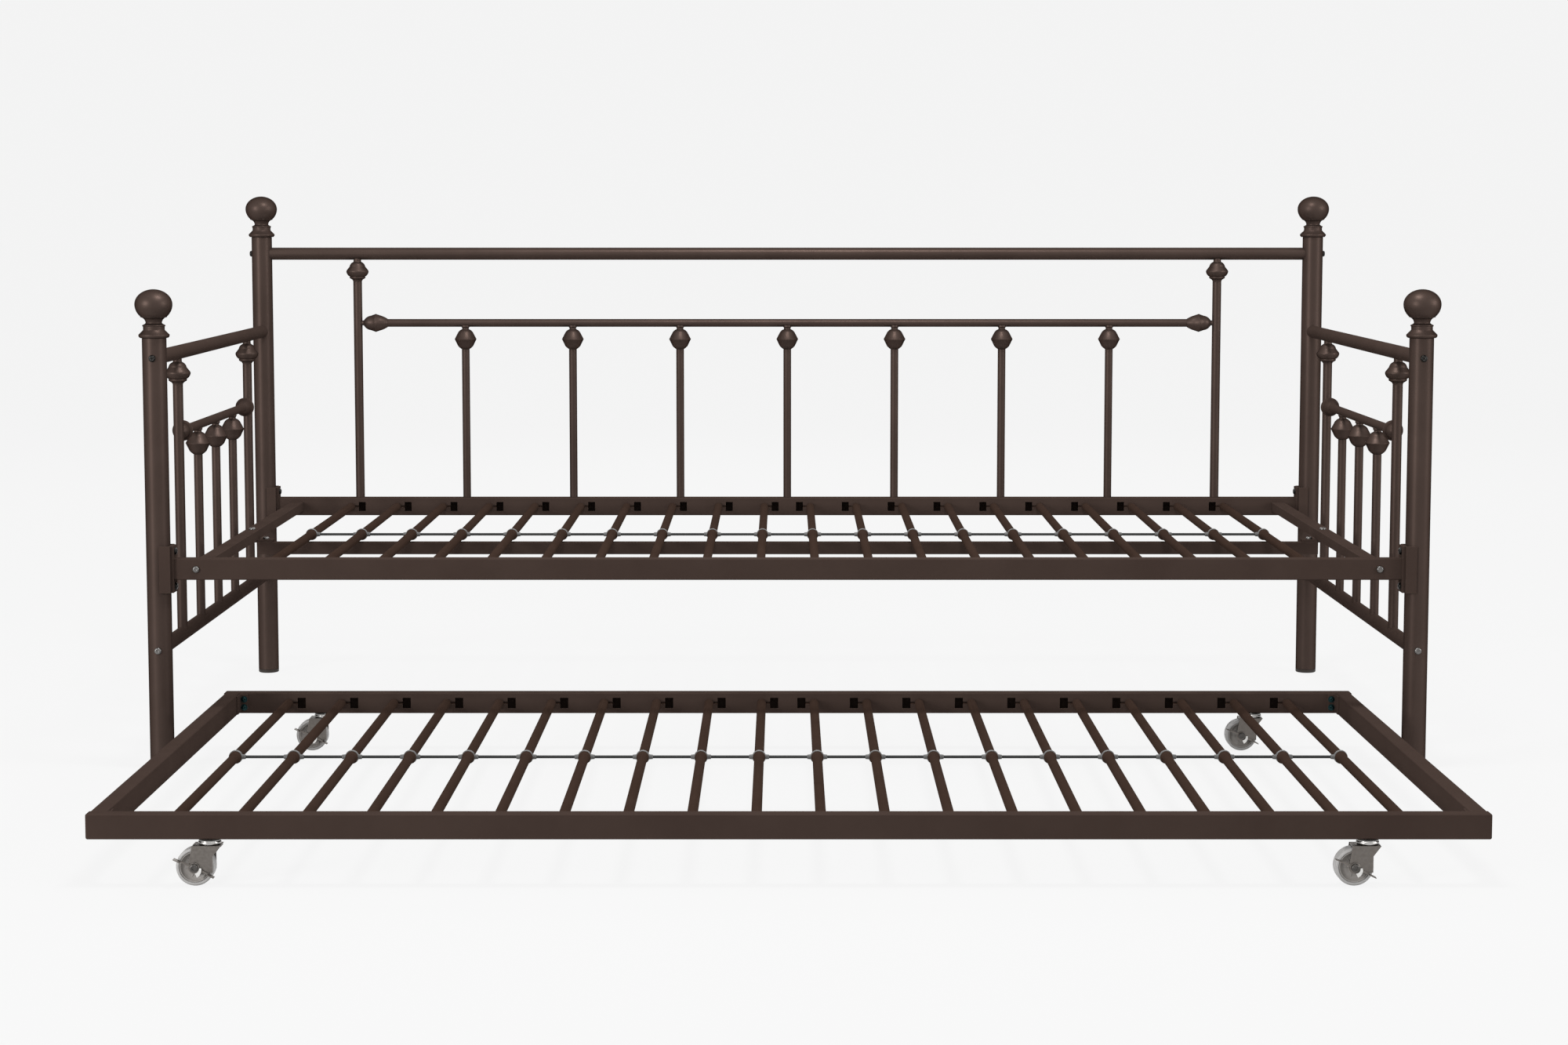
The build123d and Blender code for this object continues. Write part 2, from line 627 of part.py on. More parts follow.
def middle_support():
    """Square bar under the middle of the slats, hung from the cross rails by two pads."""
    half = SUPPORT_SIDE / 2
    pad_top = BED_Z - CROSS_H / 2
    bar_top = pad_top - PAD_T
    low = (-SUPPORT_X, Y_MID - half, bar_top - SUPPORT_SIDE)
    high = (SUPPORT_X, Y_MID + half, bar_top)
    bar = block(low, high)
    bar -= block((-SUPPORT_X, low[1] + BOX_WALL, low[2] + BOX_WALL),
                 (SUPPORT_X, high[1] - BOX_WALL, high[2] - BOX_WALL))
    pads = []
    for _, s in SIDES:
        xs = sorted((s * (CROSS_X - PAD_IN), s * (CROSS_X + CROSS_W / 2)))
        pad = block((xs[0], Y_MID - half, bar_top), (xs[1], Y_MID + half, pad_top))
        for x in (CROSS_X, CROSS_X - PAD_BOLT_IN):
            pad -= bolt_hole((s * x, Y_MID, bar_top - 1), (s * x, Y_MID, pad_top + 1), BOLT_R)
        pads.append(pad)
        x = s * (CROSS_X - PAD_BOLT_IN)
        bar -= bolt_hole((x, Y_MID, bar_top - SUPPORT_SIDE / 2), (x, Y_MID, pad_top), BOLT_R)
    save("middle_support_bar", bar)
    save("middle_support_pads", *pads)


# Trundle frame

def trundle_frame():
    half_d = BOX_D / 2
    for name, y, inner in (("front", T_FRONT, 1), ("rear", T_REAR, -1)):
        rail = box_rail(TRUNDLE_X, y, TRUNDLE_Z, END_ROUND)
        rail -= keyholes(TRUNDLE_PITCH, y + inner * half_d, TRUNDLE_Z)
        for seat in corner_bolt_seats(y, inner):
            rail -= bolt_hole(seat, (seat[0], seat[1] - inner * BOX_D / 2, seat[2]), SMALL_BOLT_R)
        save(f"trundle_{name}_rail", rail)
    for name, s in SIDES:
        low = (s * T_SIDE - half_d, T_FRONT + half_d, TRUNDLE_RAIL_Z)
        high = (s * T_SIDE + half_d, T_REAR - half_d, TRUNDLE_RAIL_Z + BOX_H)
        body = fillet(block(low, high).edges().filter_by(Axis.Y), BOX_ROUND)
        body -= block([low[0] + BOX_WALL, low[1], low[2] + BOX_WALL],
                      [high[0] - BOX_WALL, high[1], high[2] - BOX_WALL])
        save(f"trundle_{name}_rail", body)
    deck("trundle", TRUNDLE_PITCH, T_FRONT + half_d, T_REAR - half_d, TRUNDLE_Z)


def corner_bolt_seats(y, inner):
    """Points on a long rail's inner face where the corner brackets are bolted."""
    x = T_SIDE - BOX_D / 2 - CORNER_T - (CORNER_W - CORNER_T) / 2
    face = y + inner * BOX_D / 2
    return [(s * x, face, TRUNDLE_Z + rise)
            for _, s in SIDES for rise in (-CORNER_BOLT_RISE, CORNER_BOLT_RISE)]


def trundle_corners():
    """Angle brackets in the trundle's inner corners, and their bolts."""
    brackets = []
    bolts = []
    z0 = TRUNDLE_Z - CORNER_H / 2
    z1 = TRUNDLE_Z + CORNER_H / 2
    for y, inner in ((T_FRONT, 1), (T_REAR, -1)):
        face = y + inner * BOX_D / 2
        seats = corner_bolt_seats(y, inner)
        for _, s in SIDES:
            side = T_SIDE - BOX_D / 2
            xs = sorted((s * side, s * (side - CORNER_W)))
            ys = sorted((face, face + inner * CORNER_T))
            body = block((xs[0], ys[0], z0), (xs[1], ys[1], z1))
            xs = sorted((s * side, s * (side - CORNER_T)))
            ys = sorted((face, face + inner * CORNER_LEG))
            body += block((xs[0], ys[0], z0), (xs[1], ys[1], z1))
            for seat in seats:
                beyond = (seat[0], seat[1] + inner * 2 * CORNER_T, seat[2])
                body -= bolt_hole(seat, beyond, SMALL_BOLT_R)
            brackets.append(body)
        for seat in seats:
            head = (seat[0], seat[1] + inner * CORNER_T, seat[2])
            length = CORNER_T + BOX_WALL + BOLT_REACH / 4
            bolts.append(bolt(head, (0, -inner, 0), length, SMALL_BOLT_R, SMALL_HEAD_R, SMALL_HEAD_H))
    save("trundle_corner_brackets", *brackets)
    save("trundle_bolts", *bolts)


# Swivel casters, drawn with the king pin on Z and the wheel trailing along +X

def king_pin():
    """Dish under the rail with the pin that the fork turns on, riveted below."""
    rivet_top = FORK_TOP - FORK_T - SIDE_PLAY
    return turned(outline(
        (0, rivet_top - RIVET_H),
        (RIVET_R, rivet_top - RIVET_H),
        (RIVET_R, rivet_top),
        (KING_R, rivet_top),
        (KING_R, FORK_TOP + SIDE_PLAY),
        (0.75 * DISH_R, FORK_TOP + SIDE_PLAY),
        (DISH_R, FORK_TOP + SIDE_PLAY + DISH_H / 3),
        (0.93 * DISH_R, TRUNDLE_RAIL_Z),
        (0, TRUNDLE_RAIL_Z),
    ))


def fork():
    """Pressed fork: a top plate and two legs that narrow towards the axle."""
    eye = (TRAIL, WHEEL_R)
    leg = outline(
        (-FORK_LEAD, FORK_TOP),
        (-LEG_WAIST, LEG_WAIST_Z),
        (-LEG_WAIST, LEG_HEEL_Z),
        (TRAIL - LEG_EYE_R / 2, WHEEL_R - 0.87 * LEG_EYE_R),
        ((TRAIL + 0.71 * LEG_EYE_R, WHEEL_R - 0.71 * LEG_EYE_R), (TRAIL + LEG_EYE_R, WHEEL_R)),
        (FORK_TRAIL, FORK_TOP),
    )
    leg -= Pos(*eye) * Circle(AXLE_R + SEAT)
    body = block((-FORK_LEAD, -LEG_OUT, FORK_TOP - FORK_T), (FORK_TRAIL, LEG_OUT, FORK_TOP))
    body = fillet(body.edges().filter_by(Axis.Z), LEG_OUT / 2)
    body -= rod((0, 0, 0), (0, 0, FORK_TOP + 1), KING_R + RUNNING)
    for face in (LEG_OUT, FORK_T - LEG_OUT):
        body += extrude(Plane.XZ.offset(-face) * leg, FORK_T)
    return body


def wheel():
    """Moulded wheel on the axle's line: rounded tread, dished sides with ribs, hub and bore."""
    bore = AXLE_R + RUNNING
    half = WHEEL_W / 2
    rim = WHEEL_R - RIM_T
    face = outline(
        (bore, -HUB_W / 2),
        (HUB_R, -HUB_W / 2),
        (HUB_R, -WEB_T / 2),
        (rim, -WEB_T / 2),
        (rim, -half),
        (WHEEL_R - TREAD_ROUND / 2, -half),
        (WHEEL_R, TREAD_ROUND - half),
        (WHEEL_R, half - TREAD_ROUND),
        (WHEEL_R - TREAD_ROUND / 2, half),
        (rim, half),
        (rim, WEB_T / 2),
        (HUB_R, WEB_T / 2),
        (HUB_R, HUB_W / 2),
        (bore, HUB_W / 2),
    )
    body = turned(face)
    rib = block((HUB_R - 1, -RIB_T / 2, -half + 1), (rim + 1, RIB_T / 2, half - 1))
    for i in range(RIB_COUNT):
        body += Rot(0, 0, 360 / RIB_COUNT * i) * rib
    return Pos(TRAIL, 0, WHEEL_R) * Rot(90, 0, 0) * body


def axle():
    """Axle pin, headed over at both ends."""
    near = LEG_OUT + LEVER_T + 2 * SIDE_PLAY
    body = rod((TRAIL, -LEG_OUT, WHEEL_R), (TRAIL, near, WHEEL_R), AXLE_R)
    body += rod((TRAIL, -LEG_OUT - AXLE_HEAD_H, WHEEL_R), (TRAIL, -LEG_OUT, WHEEL_R), AXLE_HEAD_R)
    return body + rod((TRAIL, near, WHEEL_R), (TRAIL, near + AXLE_HEAD_H, WHEEL_R), AXLE_HEAD_R)


def brake_lever():
    """Rocking brake lever on the axle: a web with a hub and a flat pedal at each end."""
    start = LEG_OUT + SIDE_PLAY
    end = start + LEVER_T
    body = rod((0, start, 0), (0, end, 0), LEVER_HUB_R)
    body += block((-LEVER_L, start, -LEVER_WEB_H / 2), (LEVER_L, end, LEVER_WEB_H / 2))
    for way in (-1, 1):
        xs = sorted((way * PEDAL_IN, way * LEVER_L))
        body += block((xs[0], start, -LEVER_T / 2), (xs[1], start + PEDAL_W, LEVER_T / 2))
    body -= rod((0, 0, 0), (0, end + 1, 0), AXLE_R + RUNNING)
    return Pos(TRAIL, 0, WHEEL_R) * Rot(0, -LEVER_TILT, 0) * body


def casters():
    pins = []
    for row, y in (("front", T_FRONT), ("rear", T_REAR)):
        for side, s in SIDES:
            place = Pos(s * CASTER_X, y, 0) * Rot(0, 0, HEADING)
            pins.append(place * king_pin())
            save(f"caster_{row}_{side}_fork", place * fork())
            save(f"caster_{row}_{side}_axle", place * axle())
            save(f"caster_{row}_{side}_wheel", place * wheel())
            save(f"caster_{row}_{side}_brake", place * brake_lever())
    save("caster_king_pins", *pins)


def posts():
    caps = []
    finials = []
    for side, s in SIDES:
        for row, y, top, _ in ROWS:
            x = s * X_POST
            save(f"post_{row}_{side}", post(x, y, top, s, row))
            caps.append(Pos(x, y, 0) * foot_cap())
            finials.append(Pos(x, y, top) * finial())
    save("post_foot_caps", *caps)
    save("post_finials", *finials)


os.makedirs("parts", exist_ok=True)
posts()
back_panel()
arm_panels()
panel_bolts()
bed_frame()
post_brackets()
rail_bolts()
middle_support()
trundle_frame()
trundle_corners()
casters()
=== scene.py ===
import json
from math import asin, cos, degrees, pi, radians, sin

import bmesh
import bpy
from mathutils import Matrix, Vector

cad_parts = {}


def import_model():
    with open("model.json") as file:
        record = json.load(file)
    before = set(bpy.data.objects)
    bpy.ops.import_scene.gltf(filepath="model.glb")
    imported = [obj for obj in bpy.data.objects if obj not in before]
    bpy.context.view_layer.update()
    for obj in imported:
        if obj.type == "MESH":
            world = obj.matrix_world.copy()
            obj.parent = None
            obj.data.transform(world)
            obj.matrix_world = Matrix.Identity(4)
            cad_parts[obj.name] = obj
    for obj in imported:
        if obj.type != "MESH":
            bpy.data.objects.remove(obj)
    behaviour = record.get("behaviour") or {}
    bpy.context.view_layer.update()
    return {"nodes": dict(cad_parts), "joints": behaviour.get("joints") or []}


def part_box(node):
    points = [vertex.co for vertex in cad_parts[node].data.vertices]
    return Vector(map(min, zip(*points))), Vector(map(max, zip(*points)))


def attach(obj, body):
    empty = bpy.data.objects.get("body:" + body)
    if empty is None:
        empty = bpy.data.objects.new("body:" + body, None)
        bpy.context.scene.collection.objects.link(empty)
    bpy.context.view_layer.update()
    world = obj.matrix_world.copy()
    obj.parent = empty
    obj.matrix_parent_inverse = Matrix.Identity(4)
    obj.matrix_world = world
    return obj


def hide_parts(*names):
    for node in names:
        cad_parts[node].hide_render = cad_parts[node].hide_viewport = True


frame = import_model()

# Sizes are in millimetres unless a name says otherwise; the frame is in metres.
MM = 0.001
ARC_STEPS = 9          # points along each arc of a turned outline
BAR_EDGE = 0.6         # broken edge at the ends of round bars
SHARP_ANGLE = radians(32)    # steeper edges are shaded sharp
# Sides of round pieces
BALL_SIDES = 72
POST_SIDES = 56
KNOB_SIDES = 48
BAR_SIDES = 40
PIN_SIDES = 36
SLAT_SIDES = 32
BOLT_SIDES = 24
BOSS_SIDES = 20
# Bodies
DAYBED = "daybed"
TRUNDLE = "trundle"
CORNERS = [f"{row}_{side}" for row in ("front", "rear") for side in ("left", "right")]


# Reading the frame

def islands(node):
    """Low and high corner of each separate solid of a CAD node, sorted along X, Y and Z."""
    mesh = frame["nodes"][node].data
    keys = [tuple(round(c, 5) for c in v.co) for v in mesh.vertices]
    parent = {k: k for k in keys}

    def find(k):
        while parent[k] != k:
            parent[k] = parent[parent[k]]
            k = parent[k]
        return k

    for polygon in mesh.polygons:
        first, *rest = [keys[i] for i in polygon.vertices]
        for k in rest:
            parent[find(k)] = find(first)
    groups = {}
    for k in parent:
        groups.setdefault(find(k), []).append(k)
    boxes = [(Vector(map(min, zip(*g))), Vector(map(max, zip(*g)))) for g in groups.values()]
    return sorted(boxes, key=lambda b: tuple(round(v, 3) for v in b[0]))


def joint(name):
    """A joint's place and its axis, in the frame."""
    found = next(j for j in frame["joints"] if j["name"] == name)
    return Vector(found["pos_m"]), Vector(found["axis"]).normalized()


def middle(box):
    return (box[0] + box[1]) / 2


# Building meshes

def aim(origin, way):
    """Matrix that puts Z along way at origin."""
    turn = Vector(way).to_track_quat("Z", "Y").to_matrix().to_4x4()
    return Matrix.Translation(origin) @ turn


def arc(start, through, end):
    """Points of the circle's arc from start through a point to end, without start."""
    (ax, ay), (bx, by), (cx, cy) = start, through, end
    d = 2 * (ax * (by - cy) + bx * (cy - ay) + cx * (ay - by))
    a2, b2, c2 = ax**2 + ay**2, bx**2 + by**2, cx**2 + cy**2
    ux = (a2 * (by - cy) + b2 * (cy - ay) + c2 * (ay - by)) / d
    uy = (a2 * (cx - bx) + b2 * (ax - cx) + c2 * (bx - ax)) / d
    centre = Vector((ux, uy))
    first, second, third = (Vector(p) - centre for p in (start, through, end))
    total = first.angle_signed(second) + second.angle_signed(third)
    points = []
    for i in range(1, ARC_STEPS + 1):
        spun = first.copy()
        spun.rotate(Matrix.Rotation(-total * i / ARC_STEPS, 2))
        points.append(tuple(centre + spun))
    return points


def outline(start, *steps):
    """Outline of (radius, height): a step is a point, or a pair of points for an arc."""
    points = [start]
    for step in steps:
        if isinstance(step[0], tuple):
            points += arc(points[-1], *step)
        else:
            points.append(step)
    return points


def quarter(radius, rise, centre, start, end):
    """Points of an ellipse's arc about (0, centre), between two angles in degrees."""
    steps = 2 * ARC_STEPS
    angles = [radians(start + (end - start) * i / steps) for i in range(steps + 1)]
    return [(radius * cos(a), centre + rise * sin(a)) for a in angles]


def across_flats(angle, corners):
    """Share of its corner radius that a regular polygon reaches at an angle."""
    step = 2 * pi / corners
    return cos(step / 2) / cos(angle % step - step / 2)


def lathe(bm, points, place, sides=POST_SIDES):
    """Turn an outline about the Z axis of place.

    A point is (radius, height), and with a third number its ring has that many corners.
    """
    rings = []
    for r, h, *corners in points:
        if r == 0:
            rings.append([bm.verts.new(place @ Vector((0, 0, h * MM)))])
            continue
        ring = []
        for i in range(sides):
            angle = 2 * pi * i / sides
            out = r * across_flats(angle, *corners) if corners else r
            ring.append(bm.verts.new(place @ (MM * Vector((out * cos(angle), out * sin(angle), h)))))
        rings.append(ring)
    for a, b in zip(rings, rings[1:]):
        for i in range(sides):
            j = (i + 1) % sides
            quad = [a[i % len(a)], a[j % len(a)], b[j % len(b)], b[i % len(b)]]
            bm.faces.new(list(dict.fromkeys(quad)))


def tube(bm, start, end, radius, sides=POST_SIDES):
    """Closed round bar between two points of the frame, with softly broken end edges."""
    length = (end - start).length / MM
    points = [
        (0, 0), (radius - BAR_EDGE, 0), (radius, BAR_EDGE),
        (radius, length - BAR_EDGE), (radius - BAR_EDGE, length), (0, length),
    ]
    lathe(bm, points, aim(start, end - start), sides)


def slab(bm, low, high, place, edge):
    """Box with broken edges between two corners in millimetres, set in place."""
    made = bmesh.ops.create_cube(bm, size=1)["verts"]
    size = [(b - a) * MM for a, b in zip(low, high)]
    centre = [(a + b) / 2 * MM for a, b in zip(low, high)]
    move = place @ Matrix.Translation(centre) @ Matrix.Diagonal((*size, 1))
    bmesh.ops.transform(bm, matrix=move, verts=made)
    edges = list({e for v in made for e in v.link_edges})
    bmesh.ops.bevel(bm, geom=edges, offset=edge * MM, segments=2, profile=0.6, affect="EDGES")


def piece(name, body, slot, material, build, *nodes):
    """Make one piece from a mesh-building function and let it stand for CAD nodes."""
    bm = bmesh.new()
    build(bm)
    bmesh.ops.recalc_face_normals(bm, faces=bm.faces)
    mesh = bpy.data.meshes.new(name)
    bm.to_mesh(mesh)
    bm.free()
    mesh.shade_smooth()
    mesh.set_sharp_from_angle(angle=SHARP_ANGLE)
    made = bpy.data.objects.new(name, mesh)
    bpy.context.scene.collection.objects.link(made)
    made.data.materials.append(material)
    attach(made, body)
    if nodes:
        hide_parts(*nodes)


# Materials

# Fineness of each noise, in cycles per metre
DRIFT, MOULD_DRIFT, WEAR, STREAK, PEBBLE, PORE = 11.0, 40.0, 120.0, 260.0, 700.0, 1400.0
NOISE_LOW, NOISE_HIGH = 0.3, 0.7          # where most of a noise's values lie
EDGE_FLAT, EDGE_SHARP = 0.995, 0.85       # match of rounded and true normals where the edge tone starts and is full: wear, and on the bolts a painted glint too
FLAKE_TINT = (0.1, 0.08, 0.07, 1)         # dark edge tint of the coats' metal flakes
PALER_COAT, PALER_PLATE, PALEST = 2.4, 2.2, 0.8    # worn edges to the light tone, and the plate's limit


def material(name):
    made = bpy.data.materials.new(name)
    made.use_nodes = True
    tree = made.node_tree
    return made, tree, tree.nodes["Principled BSDF"]


def add(tree, kind, **inputs):
    node = tree.nodes.new(kind)
    for key, value in inputs.items():
        node.inputs[key.replace("_", " ")].default_value = value
    return node


def grain(tree, scale, detail=4.0):
    """Noise in the object's own metres."""
    place = tree.nodes.new("ShaderNodeTexCoord")
    noise = add(tree, "ShaderNodeTexNoise", Scale=scale, Detail=detail, Roughness=0.6)
    tree.links.new(place.outputs["Object"], noise.inputs["Vector"])
    return noise.outputs["Fac"]


def ramp(tree, value, low, high):
    """Colour between low and high as a noise changes."""
    node = tree.nodes.new("ShaderNodeValToRGB")
    for element, place, colour in zip(node.color_ramp.elements, (NOISE_LOW, NOISE_HIGH), (low, high)):
        element.position = place
        element.color = (*colour, 1)
    tree.links.new(value, node.inputs["Fac"])
    return node.outputs["Color"]


def span(tree, value, low, high):
    """Number between low and high as a noise changes."""
    node = add(
        tree, "ShaderNodeMapRange", From_Min=NOISE_LOW, From_Max=NOISE_HIGH, To_Min=low, To_Max=high,
    )
    tree.links.new(value, node.inputs["Value"])
    return node.outputs["Result"]


def bump(tree, shader, height, strength, depth):
    """Surface relief of that depth in millimetres."""
    node = add(tree, "ShaderNodeBump", Strength=strength, Distance=depth * MM)
    tree.links.new(height, node.inputs["Height"])
    tree.links.new(node.outputs["Normal"], shader.inputs["Normal"])


def mixed(tree, share, first, second):
    """From one colour output to a fixed colour, by a share that changes over the surface."""
    node = tree.nodes.new("ShaderNodeMix")
    node.data_type = "RGBA"
    tree.links.new(share, node.inputs["Factor"])
    tree.links.new(first, node.inputs["A"])
    node.inputs["B"].default_value = (*second, 1)
    return node.outputs["Result"]


def edge_wear_and_glint(tree, width, most):
    """Share of edge tone: up to most along sharp edges, broken up by noise, and none away from them. It is
    wear, and on the bolts also a painted glint.
    """
    soft = add(tree, "ShaderNodeBevel", Radius=width * MM)
    soft.samples = 4
    plain = tree.nodes.new("ShaderNodeNewGeometry")
    match = tree.nodes.new("ShaderNodeVectorMath")
    match.operation = "DOT_PRODUCT"
    tree.links.new(soft.outputs["Normal"], match.inputs[0])
    tree.links.new(plain.outputs["Normal"], match.inputs[1])
    edge = add(
        tree, "ShaderNodeMapRange", From_Min=EDGE_FLAT, From_Max=EDGE_SHARP, To_Min=0.0, To_Max=most,
    )
    tree.links.new(match.outputs["Value"], edge.inputs["Value"])
    share = tree.nodes.new("ShaderNodeMath")
    share.operation = "MULTIPLY"
    tree.links.new(edge.outputs["Result"], share.inputs[0])
    tree.links.new(span(tree, grain(tree, WEAR), 0.3, 1.0), share.inputs[1])
    return share.outputs[0]


def coated(name, dark, light, rough, flake, relief=0.03):
    """Metallic powder coat: slow drift in tone, fine pebbles, uneven sheen, paler along the edges."""
    made, tree, shader = material(name)
    tone = ramp(tree, grain(tree, DRIFT, 3.0), dark, light)
    pebble = grain(tree, PEBBLE, 2.0)
    pale = [PALER_COAT * c for c in light]
    tree.links.new(mixed(tree, edge_wear_and_glint(tree, 1.0, 0.6), tone, pale), shader.inputs["Base Color"])
    tree.links.new(span(tree, pebble, rough - 0.05, rough + 0.05), shader.inputs["Roughness"])
    bump(tree, shader, pebble, 0.3, relief)
    shader.inputs["Metallic"].default_value = flake
    shader.inputs["Specular IOR Level"].default_value = 0.0
    shader.inputs["Specular Tint"].default_value = FLAKE_TINT
    return made


def plated(name, dark, light, rough, bare_and_glint_tone=None):
    """Plated steel: fine streaks in tone and gloss, paler along the edges from wear; a given pale edge tone
    is a painted glint on the bolts as well.
    """
    made, tree, shader = material(name)
    streak = grain(tree, STREAK, 5.0)
    tone = ramp(tree, streak, dark, light)
    # A given edge tone is a painted glint on the bolts' rims and sockets, as well as worn bare metal.
    pale = bare_and_glint_tone or [min(PALEST, PALER_PLATE * c) for c in light]
    tree.links.new(mixed(tree, edge_wear_and_glint(tree, 0.6, 0.8), tone, pale), shader.inputs["Base Color"])
    tree.links.new(span(tree, streak, rough - 0.07, rough + 0.1), shader.inputs["Roughness"])
    bump(tree, shader, streak, 0.2, 0.03)
    shader.inputs["Metallic"].default_value = 1.0
    return made


def moulded(name, dark, light, rough):
    """Moulded plastic: slight colour drift and a fine spark-eroded texture."""
    made, tree, shader = material(name)
    drift = grain(tree, MOULD_DRIFT, 3.0)
    pore = grain(tree, PORE, 2.0)
    tree.links.new(ramp(tree, drift, dark, light), shader.inputs["Base Color"])
    tree.links.new(span(tree, pore, rough - 0.05, rough + 0.08), shader.inputs["Roughness"])
    bump(tree, shader, pore, 0.3, 0.03)
    shader.inputs["Specular IOR Level"].default_value = 0.35
    return made


BRONZE = coated("bronze_coat", (0.059, 0.0410, 0.0345), (0.069, 0.0480, 0.0405), 0.41, 0.50)
TURNED = coated("bronze_turned", (0.062, 0.0435, 0.0365), (0.072, 0.0505, 0.0430), 0.44, 0.60, relief=0.003)
MATT = coated("bronze_matt", (0.053, 0.0357, 0.0296), (0.060, 0.0409, 0.0339), 0.70, 0.12)
SLAT = coated("slat_coat", (0.043, 0.0262, 0.0195), (0.050, 0.0306, 0.0233), 0.60, 0.15)
ROD = coated("rod_coat", (0.045, 0.046, 0.046), (0.058, 0.059, 0.058), 0.46, 0.30)
ZINC = plated("zinc_plate", (0.40, 0.39, 0.38), (0.58, 0.57, 0.55), 0.28)
FORK = plated("fork_plate", (0.145, 0.130, 0.118), (0.185, 0.168, 0.154), 0.40)
PIN = plated("pin_plate", (0.075, 0.070, 0.066), (0.110, 0.104, 0.098), 0.32)
TAB = plated("tab_plate", (0.66, 0.65, 0.63), (0.80, 0.79, 0.77), 0.42)
# The pale edge tones of these two bolt finishes paint glints along the rims and sockets, on worn bare
# metal.
BOLT = plated("bolt_plate", (0.125, 0.120, 0.115), (0.195, 0.188, 0.182), 0.32, (0.60, 0.585, 0.57))
# Black bolt finish; on the arms' top rails its black is painted shade of recessed holes.
DARK_BOLT_AND_SHADE = plated("bolt_dark_and_shade", (0.016, 0.015, 0.014), (0.028, 0.027, 0.026), 0.30, (0.50, 0.48, 0.46))
TEAL_BOLT = plated("bolt_teal", (0.010, 0.026, 0.028), (0.018, 0.044, 0.046), 0.36)
CLIP = moulded("clip_grey", (0.120, 0.119, 0.117), (0.150, 0.149, 0.147), 0.5)
FOOT = moulded("foot_brown", (0.022, 0.016, 0.013), (0.028, 0.021, 0.017), 0.5)
WHEEL = moulded("wheel_taupe", (0.270, 0.250, 0.232), (0.350, 0.328, 0.308), 0.36)
TREAD = moulded("tread_grey", (0.40, 0.39, 0.38), (0.50, 0.49, 0.48), 0.42)


# Posts, foot caps and finials

CAP_ROUND, CAP_H, CAP_STEP, CAP_PLUG_H = 2.4, 5.9, 2.0, 20
PLUG_H, PLUG_R = 18.0, 16.5
FLANGE_FOOT_R, FLANGE_R, FLANGE_H = 20.5, 23.4, 4.9
COVE_R, COVE_Z = 16.3, 12.3
RING_R, RING_Z, RING_TOP_Z = 17.4, 17.3, 21.5
NECK_R, NECK_Z = 12.4, 24.0
CUP_R, CUP_Z = 20.3, 32.0
BALL_R, BALL_Z, BALL_BELOW, BALL_ABOVE = 28.5, 51.0, 26.0, 23.0


def post(box):
    def build(bm):
        low, high = box
        at = middle(box)
        tube(bm, Vector((at.x, at.y, low.z)), Vector((at.x, at.y, high.z)), (high.x - low.x) / 2 / MM)
    return build


for row in ("front", "back"):
    for side in ("left", "right"):
        node = f"post_{row}_{side}"
        piece(node + "_tube", DAYBED, "frame_bronze", BRONZE, post(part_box(node)), node)


def foot_caps(bm):
    """Caps with a rounded foot, and a plug that goes up into the post."""
    for low, high in islands("post_foot_caps"):
        at = (low + high) / 2
        r = (high.x - low.x) / 2 / MM
        points = outline(
            (0, 0), (r - CAP_ROUND, 0), ((r - 0.7, 0.7), (r, CAP_ROUND)), (r, CAP_H), (r - CAP_STEP, CAP_H),
            (r - CAP_STEP, CAP_PLUG_H), (0, CAP_PLUG_H),
        )
        lathe(bm, points, Matrix.Translation((at.x, at.y, low.z)))


def finials(bm):
    """Turned finials: plug, flange, cove, ring, neck, cup and a ball that is flatter above."""
    meets = -degrees(asin((BALL_Z - CUP_Z - 0.4) / BALL_BELOW))
    points = outline(
        (0, -PLUG_H), (PLUG_R, -PLUG_H), (PLUG_R, 0), (FLANGE_FOOT_R, 0),
        ((FLANGE_FOOT_R + 2.3, 1.6), (FLANGE_R, FLANGE_H - 0.4)),
        ((FLANGE_R, FLANGE_H + 0.1), (FLANGE_R - 0.5, FLANGE_H + 0.6)),
        (COVE_R + 0.3, COVE_Z - 0.4), ((COVE_R, COVE_Z + 0.4), (COVE_R, COVE_Z + 1.4)), (COVE_R, RING_Z),
        ((RING_R, RING_Z + 1.0), (RING_R - 1.4, RING_Z + 2.8)), (NECK_R + 0.9, RING_TOP_Z + 0.2),
        ((NECK_R + 0.1, RING_TOP_Z + 1.0), (NECK_R, NECK_Z)),
        ((NECK_R + 2.6, CUP_Z - 3.0), (CUP_R - 0.4, CUP_Z - 0.4)),
        ((CUP_R, CUP_Z), (CUP_R - 0.4, CUP_Z + 0.3)),
    )
    points += quarter(BALL_R, BALL_BELOW, BALL_Z, meets, 0)
    points += quarter(BALL_R, BALL_ABOVE, BALL_Z, 0, 90)[1:-1] + [(0, BALL_Z + BALL_ABOVE)]
    for low, high in islands("post_finials"):
        at = (low + high) / 2
        lathe(bm, points, Matrix.Translation((at.x, at.y, low.z + PLUG_H * MM)), BALL_SIDES)


piece("foot_cap_set", DAYBED, "foot_plastic", FOOT, foot_caps, "post_foot_caps")
piece("finial_set", DAYBED, "frame_bronze", TURNED, finials, "post_finials")


# Round rails and spindles of the back and the arms

BAR_OVER, ROD_OVER = 0.2, 0.4    # how far bars and tie rods reach into what holds their ends


def bars(node, axis, over):
    """Round bars along an axis, one for each solid of the node, reaching over further at both ends."""
    def build(bm):
        for low, high in islands(node):
            at = (low + high) / 2
            way = Vector((0, 0, 0))
            way[axis] = 1
            reach = (high[axis] - low[axis]) / 2 + over * MM
            across = [high[i] - low[i] for i in range(3) if i != axis]
            tube(bm, at - way * reach, at + way * reach, min(across) / 2 / MM, BAR_SIDES)
    return build


